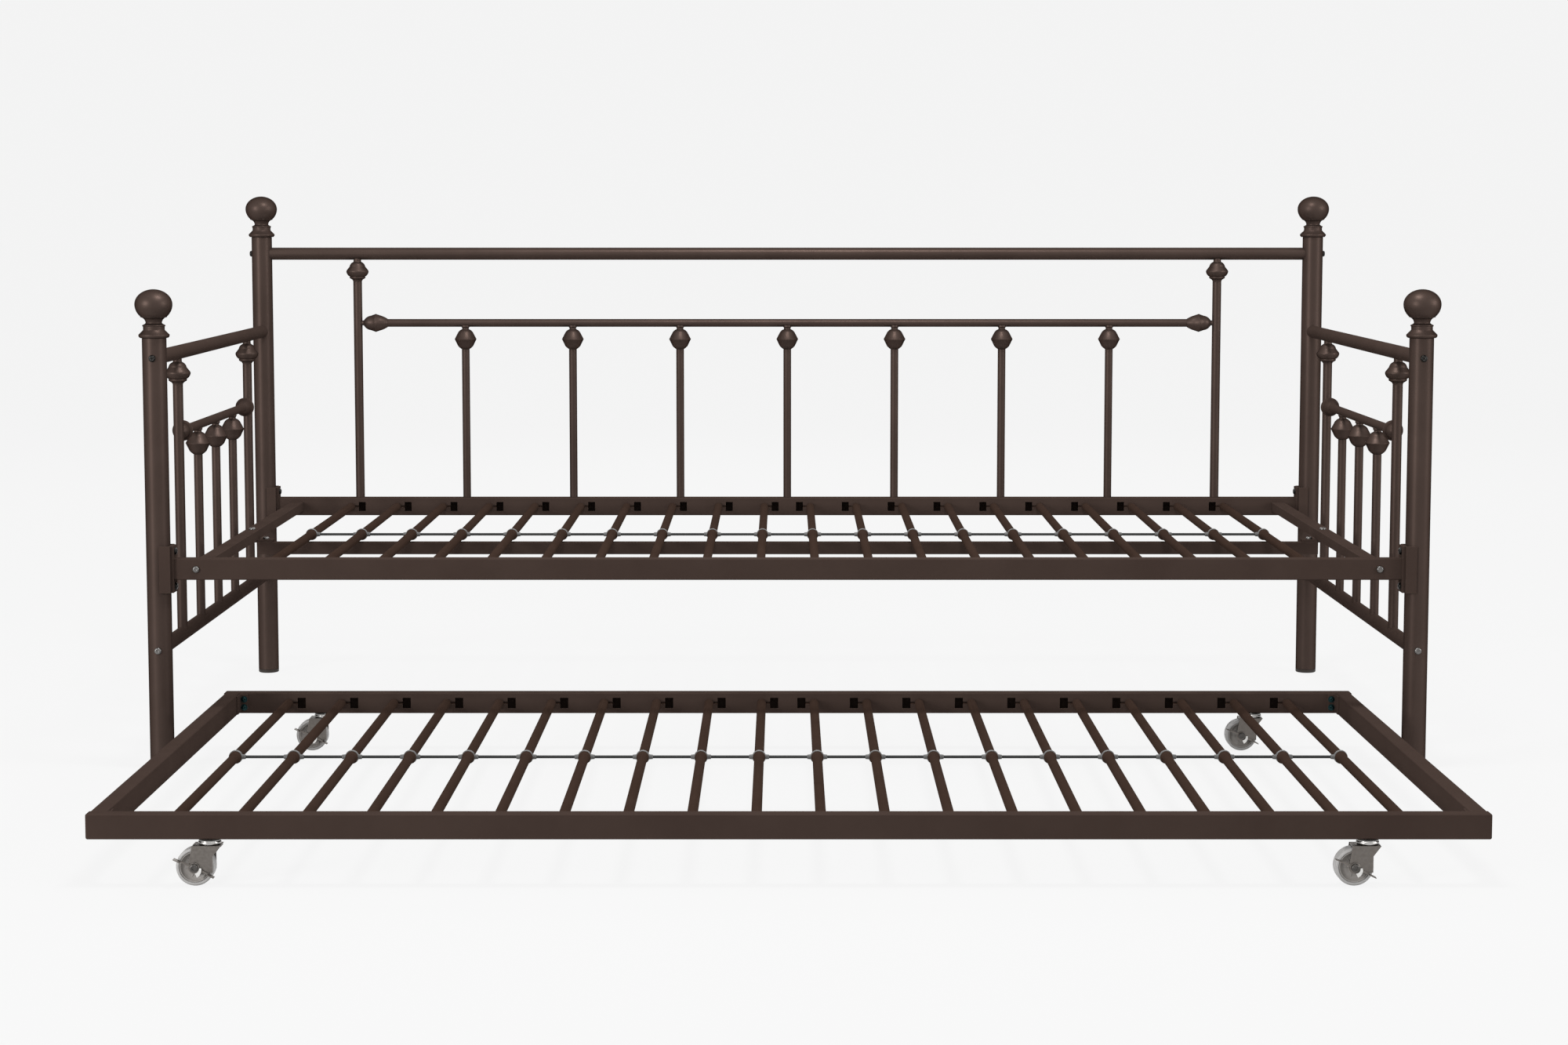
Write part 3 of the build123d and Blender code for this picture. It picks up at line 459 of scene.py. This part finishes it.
for node, axis, finish in (
    ("back_top_rail", 0, BRONZE), ("back_mid_rail", 0, BRONZE), ("back_tall_spindles", 2, BRONZE),
    ("back_short_spindles", 2, BRONZE), ("arm_tall_spindles", 2, BRONZE), ("arm_short_spindles", 2, BRONZE),
    ("arm_top_rails", 1, MATT), ("arm_mid_rails", 1, MATT), ("arm_lower_rails", 1, MATT),
):
    piece(node + "_bar", DAYBED, "frame_bronze", finish, bars(node, axis, BAR_OVER), node)


# Turned knobs, each drawn upwards from its foot

TALL_KNOB = outline(
    (0, 0), (8.0, 0), ((8.6, 2.2), (10.2, 4.0)), (13.0, 5.6), ((14.4, 7.4), (14.0, 9.4)), (15.2, 9.8),
    ((18.2, 12.8), (20.2, 17.4)), ((20.3, 18.6), (19.3, 21.2)), (14.6, 27.2), (14.2, 27.8),
    ((13.0, 31.2), (8.2, 35.6)), ((7.1, 36.6), (6.9, 37.8)), (6.9, 43.0), (0, 43.0),
)
ACORN = outline(
    (0, 0), (7.15, 0), ((11.4, 3.2), (13.9, 5.8)), (19.8, 18.0), ((20.1, 18.5), (19.8, 19.0)),
    (14.2, 29.8), ((12.0, 33.0), (7.6, 36.2)), ((6.3, 37.0), (6.1, 38.0)), ((6.4, 39.4), (7.6, 40.8)),
    (7.6, 44.0), (0, 44.0),
)
RAIL_KNOB = outline(
    (0, 0), (7.2, 0), ((10.6, 5.8), (13.2, 12.0)), (16.3, 21.8), ((16.6, 22.4), (16.3, 23.0)), (13.4, 31.4),
    ((10.8, 38.6), (5.2, 44.0)), (4.5, 45.5), (4.6, 49.0), (0, 49.0),
)


def knobs(node, points, axis, neck_out):
    """Turned knobs at a node's solids: upright, or along an axis with the neck away from the middle."""
    def build(bm):
        places = islands(node)
        heart = sum((middle(b)[axis] for b in places), 0.0) / len(places)
        for box in places:
            at = middle(box)
            sign = -1 if neck_out and at[axis] < heart else 1
            way = Vector((0, 0, 0))
            way[axis] = sign
            foot = at.copy()
            foot[axis] = box[0][axis] if sign > 0 else box[1][axis]
            lathe(bm, points, aim(foot, way), KNOB_SIDES)
    return build


for node, points, axis, out in (
    ("back_tall_knobs", TALL_KNOB, 2, False), ("arm_tall_knobs", TALL_KNOB, 2, False),
    ("back_acorn_knobs", ACORN, 2, False), ("arm_acorn_knobs", ACORN, 2, False),
    ("back_rail_knobs", RAIL_KNOB, 0, True), ("arm_rail_knobs", RAIL_KNOB, 1, True),
):
    piece(node + "_turned", DAYBED, "frame_bronze", TURNED, knobs(node, points, axis, out), node)


# Slats, clips and tie rods

SLAT_GAP = 1.0
SWELL_R, SWELL_L = 8.9, 12.0    # widened end of the front half, sleeved over the rear half
CLIP_BAND = 3.2                 # half width of the clip's ring
CLIP_BORE, CLIP_SIDE_R, CLIP_R, CLIP_FLAT = 7.05, 9.0, 9.8, 1.4
BOSS_ROOT, BOSS_R, BOSS_TIP_R = 7.6, 3.9, 3.3
TONGUE_W, TONGUE_T, TONGUE_L = 10.0, 3.0, 4.6
SLIT_REACH, SLIT_DEPTH, SLIT_FILL = 13.4, (1.3, 2.8), 0.0    # flat of the hook low in the rail's slit
SLAT_EDGE, TONGUE_EDGE, FLAT_EDGE = 0.8, 0.4, 0.2


def slats(node, front_rail, rear_rail):
    """Slats between two rails, with a flat tongue and hook at each end, in the rail's slit."""
    def build(bm):
        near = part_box(front_rail)[1].y + SLAT_GAP * MM
        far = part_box(rear_rail)[0].y - SLAT_GAP * MM
        half = (far - near) / 2 / MM
        for low, high in islands(node):
            at = (low + high) / 2
            r = (high.x - low.x) / 2 / MM
            joint_at = half - CLIP_BAND
            points = outline(
                (0, 0), (r - SLAT_EDGE, 0), (r, SLAT_EDGE), (r, joint_at - SWELL_L),
                ((r + 0.3, joint_at - 0.85 * SWELL_L), (r + 0.9, joint_at - 0.7 * SWELL_L)),
                ((SWELL_R - 0.1, joint_at - 0.35 * SWELL_L), (SWELL_R, joint_at - 0.8)),
                (SWELL_R - 0.5, joint_at), (r, joint_at),
                (r, 2 * half - SLAT_EDGE), (r - SLAT_EDGE, 2 * half), (0, 2 * half),
            )
            lathe(bm, points, aim(Vector((at.x, near, at.z)), Vector((0, 1, 0))), SLAT_SIDES)
            inward = -1 if at.x > 0 else 1
            for end, way in ((near, -1), (far, 1)):
                place = Matrix.Translation((at.x, end, at.z))
                ys = sorted((-way * SLAT_GAP, way * TONGUE_L))
                corner = TONGUE_W / 2, ys[1], TONGUE_T / 2
                slab(bm, (-TONGUE_W / 2, ys[0], -TONGUE_T / 2), corner, place, TONGUE_EDGE)
                xs = sorted((inward * TONGUE_W / 4, inward * SLIT_REACH))
                ys = sorted(way * y for y in SLIT_DEPTH)
                slab(bm, (xs[0], ys[0], -TONGUE_T / 2), (xs[1], ys[1], SLIT_FILL), place, FLAT_EDGE)
    return build


def clips(node):
    """Rings half way along the slats, with a boss for each tie rod."""
    def build(bm):
        places = islands(node)
        for box in places:
            at = middle(box)
            half = (box[1].x - box[0].x) / 2 / MM
            across = aim(at, Vector((0, 1, 0)))
            ring = outline(
                (CLIP_BORE, -CLIP_BAND), (CLIP_SIDE_R, -CLIP_BAND), ((9.7, -2.4), (CLIP_R, -CLIP_FLAT)),
                (CLIP_R, CLIP_FLAT), ((9.7, 2.4), (CLIP_SIDE_R, CLIP_BAND)), (CLIP_BORE, CLIP_BAND),
                (CLIP_BORE, -CLIP_BAND),
            )
            lathe(bm, ring, across, SLAT_SIDES)
            boss = outline(
                (0, BOSS_ROOT), (BOSS_R, BOSS_ROOT), (BOSS_TIP_R, half - 1.0),
                ((3.1, half - 0.3), (2.6, half)), (0, half),
            )
            for way, last in ((-1, places[0]), (1, places[-1])):
                if box is not last:
                    lathe(bm, boss, aim(at, Vector((way, 0, 0))), BOSS_SIDES)
    return build


for name, body in (("bed", DAYBED), ("trundle", TRUNDLE)):
    rails = f"{name}_front_rail", f"{name}_rear_rail"
    slat_node, clip_node, rod_node = f"{name}_slats", f"{name}_slat_clips", f"{name}_tie_rods"
    piece(f"{name}_slat_set", body, "frame_bronze", SLAT, slats(slat_node, *rails), slat_node)
    piece(f"{name}_clip_set", body, "clip_plastic", CLIP, clips(clip_node), clip_node)
    piece(f"{name}_rod_set", body, "tie_rod_steel", ROD, bars(rod_node, 0, ROD_OVER), rod_node)


# Bolts: domed heads with a six-sided socket

HEX = 6
HEAD_H, SMALL_HEAD_H = 3.6, 2.6
CORNER_BRIM = 1.45     # flange to head, across, on the trundle's corner bolts
SHANK_SHARE, SOCKET_SHARE, SOCKET_DEPTH = 0.55, 0.50, 0.6


def bolt(bm, box, axis, sign, head_h, brim):
    """One bolt whose head points along sign on an axis, with a flange brim times as wide as the head."""
    at = middle(box)
    way = Vector((0, 0, 0))
    way[axis] = sign
    foot = at.copy()
    foot[axis] = box[0][axis] if sign > 0 else box[1][axis]
    long = (box[1][axis] - box[0][axis]) / MM
    r = max(box[1][i] - box[0][i] for i in range(3) if i != axis) / 2 / MM
    seat = long - head_h
    shank = SHANK_SHARE * r
    flange = brim * r
    socket = SOCKET_SHARE * r
    floor_h = long - SOCKET_DEPTH * head_h
    dome = outline(
        (0, 0), (shank - 0.5, 0), (shank, 0.5), (shank, seat), (flange - 0.2, seat), (flange, seat + 0.2),
        (flange, seat + 0.5), (r, seat + 0.6), (r, seat + 0.3 * head_h),
        ((0.9 * r, long - 0.25 * head_h), (0.66 * r, long)), (0.54 * r, long, HEX),
        (socket, long - 0.2, HEX), (socket, floor_h, HEX), (0.2 * r, floor_h - 0.3), (0, floor_h - 0.3),
    )
    lathe(bm, dome, aim(foot, way), BOLT_SIDES)


def bolts(node, head_h, towards, chosen=lambda axis, at: True, brim=1.0):
    """The chosen bolts of a node: towards tells the head's side from the bolt's axis and place."""
    def build(bm):
        for box in islands(node):
            size = box[1] - box[0]
            axis = max(range(3), key=lambda i: size[i])
            if chosen(axis, middle(box)):
                bolt(bm, box, axis, towards(axis, middle(box)), head_h, brim)
    return build


BED_MID_Y = (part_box("bed_front_rail")[0].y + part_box("bed_rear_rail")[1].y) / 2
TRUNDLE_MID_Y = (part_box("trundle_front_rail")[0].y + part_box("trundle_rear_rail")[1].y) / 2


def outwards(axis, at):
    """Side of the head that looks away from the middle of the bed."""
    return 1 if (at.x if axis == 0 else at.y - BED_MID_Y) > 0 else -1


def rail_side(axis, at):
    """Heads of the rails' bolts: up, inside the end plates, or outside the rails."""
    if axis == 2:
        return 1
    return -outwards(axis, at) if axis == 0 else outwards(axis, at)


def inwards(_, at):
    """Side of the head that looks to the middle of the trundle."""
    return -1 if at.y > TRUNDLE_MID_Y else 1


ARM_TOP_Z = middle(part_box("arm_top_rails")).z


def hole_shade_head(axis, at):
    """True for the bolts of the back panel and of the arms' top rails, whose heads are black: on the arms'
    top rails that black is painted shade of recessed holes round the bolts.
    """
    return axis == 0 or abs(at.z - ARM_TOP_Z) < HEAD_H * MM


def bright_head(axis, at):
    return not hole_shade_head(axis, at)


def at_rail_end(axis, at):
    return axis == 0


def not_at_rail_end(axis, at):
    return axis != 0


for name, node, finish, towards, chosen in (
    ("panel_bolt_set", "panel_bolts", BOLT, outwards, bright_head),
    # Black heads: on the arms' top rails they are painted shade of recessed holes.
    ("hole_shade_bolt_set", "panel_bolts", DARK_BOLT_AND_SHADE, outwards, hole_shade_head),
    ("rail_bolt_set", "rail_bolts", BOLT, rail_side, not_at_rail_end),
    ("end_bolt_set", "rail_bolts", DARK_BOLT_AND_SHADE, rail_side, at_rail_end),
):
    piece(name, DAYBED, "bolt_steel", finish, bolts(node, HEAD_H, towards, chosen), node)
corner_bolts = bolts("trundle_bolts", SMALL_HEAD_H, inwards, brim=CORNER_BRIM)
piece("corner_bolt_set", TRUNDLE, "bolt_steel", TEAL_BOLT, corner_bolts, "trundle_bolts")


# Casters

WHEEL_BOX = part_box("caster_front_left_wheel")
WHEEL_R = (WHEEL_BOX[1].z - WHEEL_BOX[0].z) / 2 / MM
WHEEL_W = 22.0
HUB_HALF = 12.0
HUB_BORE, HUB_R = 3.05, 7.2
AXLE_SPAN = (-17.8, 19.9)
AXLE_R, RIVET_R = 3.0, 5.4
TYRE = 4.6             # depth of the tread ring
GROOVE = 0.6           # open line between the tread ring and the disc
WEB = 6.4              # half of the web's thickness
DISH_SLOPE = 7.0       # breadth of the slope from the rim down to the web
RIBS = 6
RIB_ROOT, RIB_SHORT, RIB_T, RIB_H, RIB_EDGE = 7.0, 2.4, 1.0, 7.1, 0.3
RIB_TURN = 0.2         # how far the first rib is turned, in steps between ribs


def wheel_place(corner):
    """Frame of a wheel: X trails away from the king pin, Z runs along the axle to the brake's side."""
    pin, _ = joint(f"caster_{corner}_swivel")
    at, axle = joint(f"caster_{corner}_spin")
    trail = Vector((at.x - pin.x, at.y - pin.y, 0)).normalized()
    turn = Matrix((trail, axle.cross(trail), axle)).transposed().to_4x4()
    return Matrix.Translation(at) @ turn


def wheel_disc(corner):
    """Dished disc on both sides, with a hub and thin ribs."""
    def build(bm):
        place = wheel_place(corner)
        rim = WHEEL_R - TYRE
        lip = WHEEL_W / 2 - 0.6
        face = outline(
            (HUB_BORE, HUB_HALF), (HUB_R - 1.0, HUB_HALF), (HUB_R, HUB_HALF - 1.0), (7.6, WEB + 0.9),
            ((7.9, WEB + 0.2), (8.8, WEB)), (rim - DISH_SLOPE, WEB),
            ((rim - 0.6 * DISH_SLOPE, WEB + 1.0), (rim - 1.9, lip - 1.0)),
            ((rim - 1.6, lip - 0.2), (rim - 1.0, lip)), (rim - 0.3, lip), (rim, lip - 0.3),
        )
        other = [(r, -h) for r, h in reversed(face)]
        lathe(bm, face + other + face[:1], place)
        for i in range(RIBS):
            spin = place @ Matrix.Rotation(2 * pi * (i + RIB_TURN) / RIBS, 4, "Z")
            slab(bm, (RIB_ROOT, -RIB_T / 2, -RIB_H), (rim - RIB_SHORT, RIB_T / 2, RIB_H), spin, RIB_EDGE)
    return build


def wheel_tread(corner):
    """Tread ring with rounded shoulders and an open line round the disc."""
    def build(bm):
        place = wheel_place(corner)
        rim = WHEEL_R - TYRE
        half = WHEEL_W / 2
        face = outline(
            (rim, half - 1.6), (rim + GROOVE, half - 1.6), (rim + GROOVE, half - 0.3),
            (rim + GROOVE + 0.3, half), (WHEEL_R - 2.2, half),
            ((WHEEL_R - 0.7, half - 0.8), (WHEEL_R, half - 3.2)),
        )
        other = [(r, -h) for r, h in reversed(face)]
        lathe(bm, face + other + face[:1], place)
    return build


def axle_pin(corner):
    """Axle with a rivet head at each end."""
    def build(bm):
        place = wheel_place(corner)
        low, high = AXLE_SPAN
        points = outline(
            (0, low), (3.6, low), ((5.0, low + 0.7), (RIVET_R, low + 2.0)), (RIVET_R, low + 3.4),
            (AXLE_R, low + 3.5), (AXLE_R, high - 3.5), (RIVET_R, high - 3.4), (RIVET_R, high - 2.0),
            ((5.0, high - 0.8), (3.4, high)), (2.6, high), (2.2, high - 1.2), (0, high - 1.2),
        )
        lathe(bm, points, place, PIN_SIDES)
    return build


DARK_RING_T, DARK_RING_SHARE = 1.6, 0.9
DISH_H, PIN_R, PIN_HEAD_R = 7.5, 4.0, 6.5


def dishes(bm):
    """King pins with a riveted head below and a rounded dish above."""
    for low, high in islands("caster_king_pins"):
        at = (low + high) / 2
        r = (high.x - low.x) / 2 / MM
        top = (high.z - low.z) / MM
        dish = top - DISH_H
        points = outline(
            (0, 0), (5.4, 0), ((6.3, 0.5), (PIN_HEAD_R, 1.4)), (PIN_HEAD_R, 2.4), (PIN_R, 2.5),
            (PIN_R, dish), (0.72 * r, dish), ((0.94 * r, dish + 0.8), (r, dish + 2.4)),
            ((0.99 * r, dish + 3.6), (0.95 * r, dish + 4.6)),
            ((0.92 * r, dish + 5.2), (0.94 * r, dish + 5.7)),
            (0.94 * r, top - DARK_RING_T), (0, top - DARK_RING_T),
        )
        lathe(bm, points, Matrix.Translation((at.x, at.y, low.z)), KNOB_SIDES)


def dark_rings(bm):
    """Dark rings on top of the dishes, against the rails."""
    for low, high in islands("caster_king_pins"):
        at = (low + high) / 2
        r = DARK_RING_SHARE * (high.x - low.x) / 2 / MM
        points = [
            (0, -DARK_RING_T), (r - 0.3, -DARK_RING_T), (r, 0.3 - DARK_RING_T), (r, -0.3), (r - 0.3, 0), (0, 0),
        ]
        lathe(bm, points, Matrix.Translation((at.x, at.y, high.z)), KNOB_SIDES)


LEVER_PLATE = 14.7, 16.2    # inner and outer face of the brake's lever, from the wheel's middle
LEVER_TILT = radians(25)
LEVER_BORE, LEVER_HUB_R, LEVER_EDGE = 3.3, 6.5, 0.3
LEVER_ROOT, LEVER_ROOT_H = 6.25, 1.7
LEVER_TIP, LEVER_TIP_H = 28.5, 0.6
PEDAL_ROOT, PEDAL_T, PEDAL_OUT = 19.0, 1.2, 23.7
TAB_SEAT = LEVER_PLATE[1]
TAB_PATH = (-7.9, 0.4), (-6.8, 5.6), (-2.2, 9.8)
TAB_NECK, TAB_FOOT, TAB_T, TAB_RISE = 2.6, 5.8, 0.8, 1.6


def brake_lever(corner):
    """Rocking lever on the axle: a hub, a web that narrows to both tips, and a thin pedal at each end."""
    def build(bm):
        place = wheel_place(corner)
        tilted = place @ Matrix.Rotation(-LEVER_TILT, 4, "Z")
        low, high = LEVER_PLATE
        inner, outer, edge = LEVER_BORE, LEVER_HUB_R, LEVER_EDGE
        hub = [
            (inner, low), (outer - edge, low), (outer, low + edge),
            (outer, high - edge), (outer - edge, high), (inner, high), (inner, low),
        ]
        lathe(bm, hub, place, PIN_SIDES)
        for way in (-1, 1):
            root, tip = way * LEVER_ROOT, way * LEVER_TIP
            web = [(root, -LEVER_ROOT_H), (tip, -LEVER_TIP_H), (tip, LEVER_TIP_H), (root, LEVER_ROOT_H)]
            rings = [[bm.verts.new(tilted @ (MM * Vector((x, y, z)))) for x, y in web] for z in (low, high)]
            for j in range(4):
                bm.faces.new((rings[0][j], rings[0][j - 3], rings[1][j - 3], rings[1][j]))
            for ring in rings:
                bm.faces.new(ring)
            xs = sorted((way * PEDAL_ROOT, tip))
            slab(bm, (xs[0], -PEDAL_T / 2, low + 0.1), (xs[1], PEDAL_T / 2, PEDAL_OUT), tilted, edge)
    return build


def spring_tab(corner):
    """Bright bent strip on the brake's lever, beside the head of the axle."""
    def build(bm):
        place = wheel_place(corner)
        path = outline(TAB_PATH[0], TAB_PATH[1:])
        rings = []
        for i, (x, y) in enumerate(path):
            share = i / (len(path) - 1)
            width = TAB_NECK + share * (TAB_FOOT - TAB_NECK)
            (ax, ay), (bx, by) = path[max(i - 1, 0)], path[min(i + 1, len(path) - 1)]
            side = Vector((ay - by, bx - ax, 0)).normalized() * width / 2
            at = Vector((x, y, TAB_SEAT + TAB_RISE * sin(pi * share)))
            top = at + Vector((0, 0, TAB_T))
            ring = at - side, at + side, top + side, top - side
            rings.append([bm.verts.new(place @ (MM * p)) for p in ring])
        for a, b in zip(rings, rings[1:]):
            for j in range(4):
                bm.faces.new((a[j], a[j - 3], b[j - 3], b[j]))
        bm.faces.new(rings[0])
        bm.faces.new(rings[-1])
    return build


for corner in CORNERS:
    name = f"caster_{corner}"
    wheel, brake = name + "_wheel", name + "_brake"
    piece(name + "_disc", wheel + "_body", "wheel_plastic", WHEEL, wheel_disc(corner), wheel)
    piece(name + "_tread", wheel + "_body", "wheel_plastic", TREAD, wheel_tread(corner), wheel)
    piece(name + "_pin", name, "caster_steel", PIN, axle_pin(corner), name + "_axle")
    piece(name + "_lever", brake + "_body", "caster_steel", FORK, brake_lever(corner), brake)
    piece(name + "_spring_tab", brake + "_body", "caster_steel", TAB, spring_tab(corner))
piece("caster_dish_set", TRUNDLE, "caster_steel", ZINC, dishes, "caster_king_pins")
piece("caster_dark_ring_set", TRUNDLE, "caster_steel", DARK_BOLT_AND_SHADE, dark_rings, "caster_king_pins")


# CAD nodes that keep their shape get their finish and broken edges

RAIL_EDGE, FORK_EDGE = 0.4, 0.5
WELD_GAP = 0.01
CORNER_ANGLE = radians(40)    # edges sharper than this are broken


def dress(node, finish, edge):
    shown = frame["nodes"][node]
    shown.data.materials.clear()
    shown.data.materials.append(finish)
    weld = shown.modifiers.new("weld", "WELD")
    weld.merge_threshold = WELD_GAP * MM
    soft = shown.modifiers.new("edge", "BEVEL")
    soft.width = edge * MM
    soft.segments = 2
    soft.limit_method = "ANGLE"
    soft.angle_limit = CORNER_ANGLE
    soft.harden_normals = True


for node in (
    "bed_front_rail", "bed_rear_rail", "bed_left_cross_rail", "bed_right_cross_rail", "bed_rail_end_plates",
    "post_brackets", "middle_support_bar", "middle_support_pads", "trundle_front_rail", "trundle_rear_rail",
    "trundle_left_rail", "trundle_right_rail", "trundle_corner_brackets",
):
    dress(node, MATT, RAIL_EDGE)
for corner in CORNERS:
    dress(f"caster_{corner}_fork", FORK, FORK_EDGE)


# Floor, light and camera

PAPER = 0.90           # the pale background, as light
AMBIENT = 0.60         # light from all around
FLOOR_SHADE = 0.06     # part of the floor's paleness that shadows touch
FLOOR_GLOW = PAPER - FLOOR_SHADE * AMBIENT
FLOOR_GREY = 0.5       # the floor's own tone, for the light it throws back on the part
FLOOR_HALF = 60.0      # half of the floor's side, in metres
WHITE = (1, 1, 1, 1)
LAMP_TARGET = (0, 0, 0.4)
LAMPS = (              # name, place, width and height in metres, power in watts
    ("left", (-4.6, -4.4, 1.75), (0.9, 2.6), 190),
    ("right", (5.2, -1.8, 1.9), (2.0, 2.4), 105),
    ("top", (0.1, -0.6, 3.0), (0.7, 0.6), 46),
    ("back", (0, 5.6, 3.4), (3.0, 1.6), 60),
)
# Camera fitted to the photograph, with its place in metres
LENS, SENSOR = 71.84, 36.0
CAMERA_PLACE = (-0.0060, -4.8624, 0.8663)
CAMERA_PITCH = radians(-5.812)


def seen(tree):
    """1 for rays that show the background: to the camera, in gloss or through glass."""
    path = tree.nodes.new("ShaderNodeLightPath")
    total = path.outputs["Is Camera Ray"]
    for name in ("Is Glossy Ray", "Is Transmission Ray"):
        either = tree.nodes.new("ShaderNodeMath")
        either.operation = "MAXIMUM"
        tree.links.new(total, either.inputs[0])
        tree.links.new(path.outputs[name], either.inputs[1])
        total = either.outputs[0]
    return total


def grey(level):
    return level, level, level, 1


def floor():
    """Pale floor that glows like the background and takes the part's shadow."""
    mesh = bpy.data.meshes.new("floor")
    signs = (-1, -1), (1, -1), (1, 1), (-1, 1)
    mesh.from_pydata([(FLOOR_HALF * x, FLOOR_HALF * y, 0) for x, y in signs], [], [(0, 1, 2, 3)])
    made = bpy.data.objects.new("floor", mesh)
    bpy.context.scene.collection.objects.link(made)
    paint, tree, shader = material("floor_paper")
    tree.nodes.remove(shader)
    plain = add(tree, "ShaderNodeBsdfDiffuse", Color=grey(FLOOR_GREY))
    shade = add(tree, "ShaderNodeBsdfDiffuse", Color=grey(FLOOR_SHADE))
    glow = add(tree, "ShaderNodeEmission", Color=WHITE, Strength=FLOOR_GLOW)
    both = tree.nodes.new("ShaderNodeAddShader")
    pick = tree.nodes.new("ShaderNodeMixShader")
    tree.links.new(shade.outputs[0], both.inputs[0])
    tree.links.new(glow.outputs[0], both.inputs[1])
    tree.links.new(seen(tree), pick.inputs[0])
    tree.links.new(plain.outputs[0], pick.inputs[1])
    tree.links.new(both.outputs[0], pick.inputs[2])
    tree.links.new(pick.outputs[0], tree.nodes["Material Output"].inputs["Surface"])
    made.data.materials.append(paint)


def world():
    """Even light from all around, in front of a paper white background."""
    made = bpy.data.worlds.new("studio")
    made.use_nodes = True
    tree = made.node_tree
    tree.nodes.clear()
    out = tree.nodes.new("ShaderNodeOutputWorld")
    pick = tree.nodes.new("ShaderNodeMixShader")
    light = add(tree, "ShaderNodeBackground", Color=WHITE, Strength=AMBIENT)
    paper = add(tree, "ShaderNodeBackground", Color=WHITE, Strength=PAPER)
    tree.links.new(seen(tree), pick.inputs[0])
    tree.links.new(light.outputs[0], pick.inputs[1])
    tree.links.new(paper.outputs[0], pick.inputs[2])
    tree.links.new(pick.outputs[0], out.inputs["Surface"])
    bpy.context.scene.world = made


def softbox(name, place, size, power):
    """Soft lamp that is aimed at the part."""
    lamp = bpy.data.lights.new(name, "AREA")
    lamp.shape = "RECTANGLE"
    lamp.size, lamp.size_y = size
    lamp.energy = power
    made = bpy.data.objects.new(name, lamp)
    bpy.context.scene.collection.objects.link(made)
    made.matrix_world = aim(place, Vector(place) - Vector(LAMP_TARGET))
    made.visible_camera = False


def camera():
    data = bpy.data.cameras.new("photo_camera")
    data.lens = LENS
    data.sensor_width = SENSOR
    data.sensor_fit = "HORIZONTAL"
    made = bpy.data.objects.new("photo_camera", data)
    made.location = CAMERA_PLACE
    made.rotation_euler = (pi / 2 + CAMERA_PITCH, 0, 0)
    bpy.context.scene.collection.objects.link(made)
    bpy.context.scene.camera = made


floor()
world()
for lamp in LAMPS:
    softbox(*lamp)
camera()
bpy.context.scene.view_settings.view_transform = "Standard"
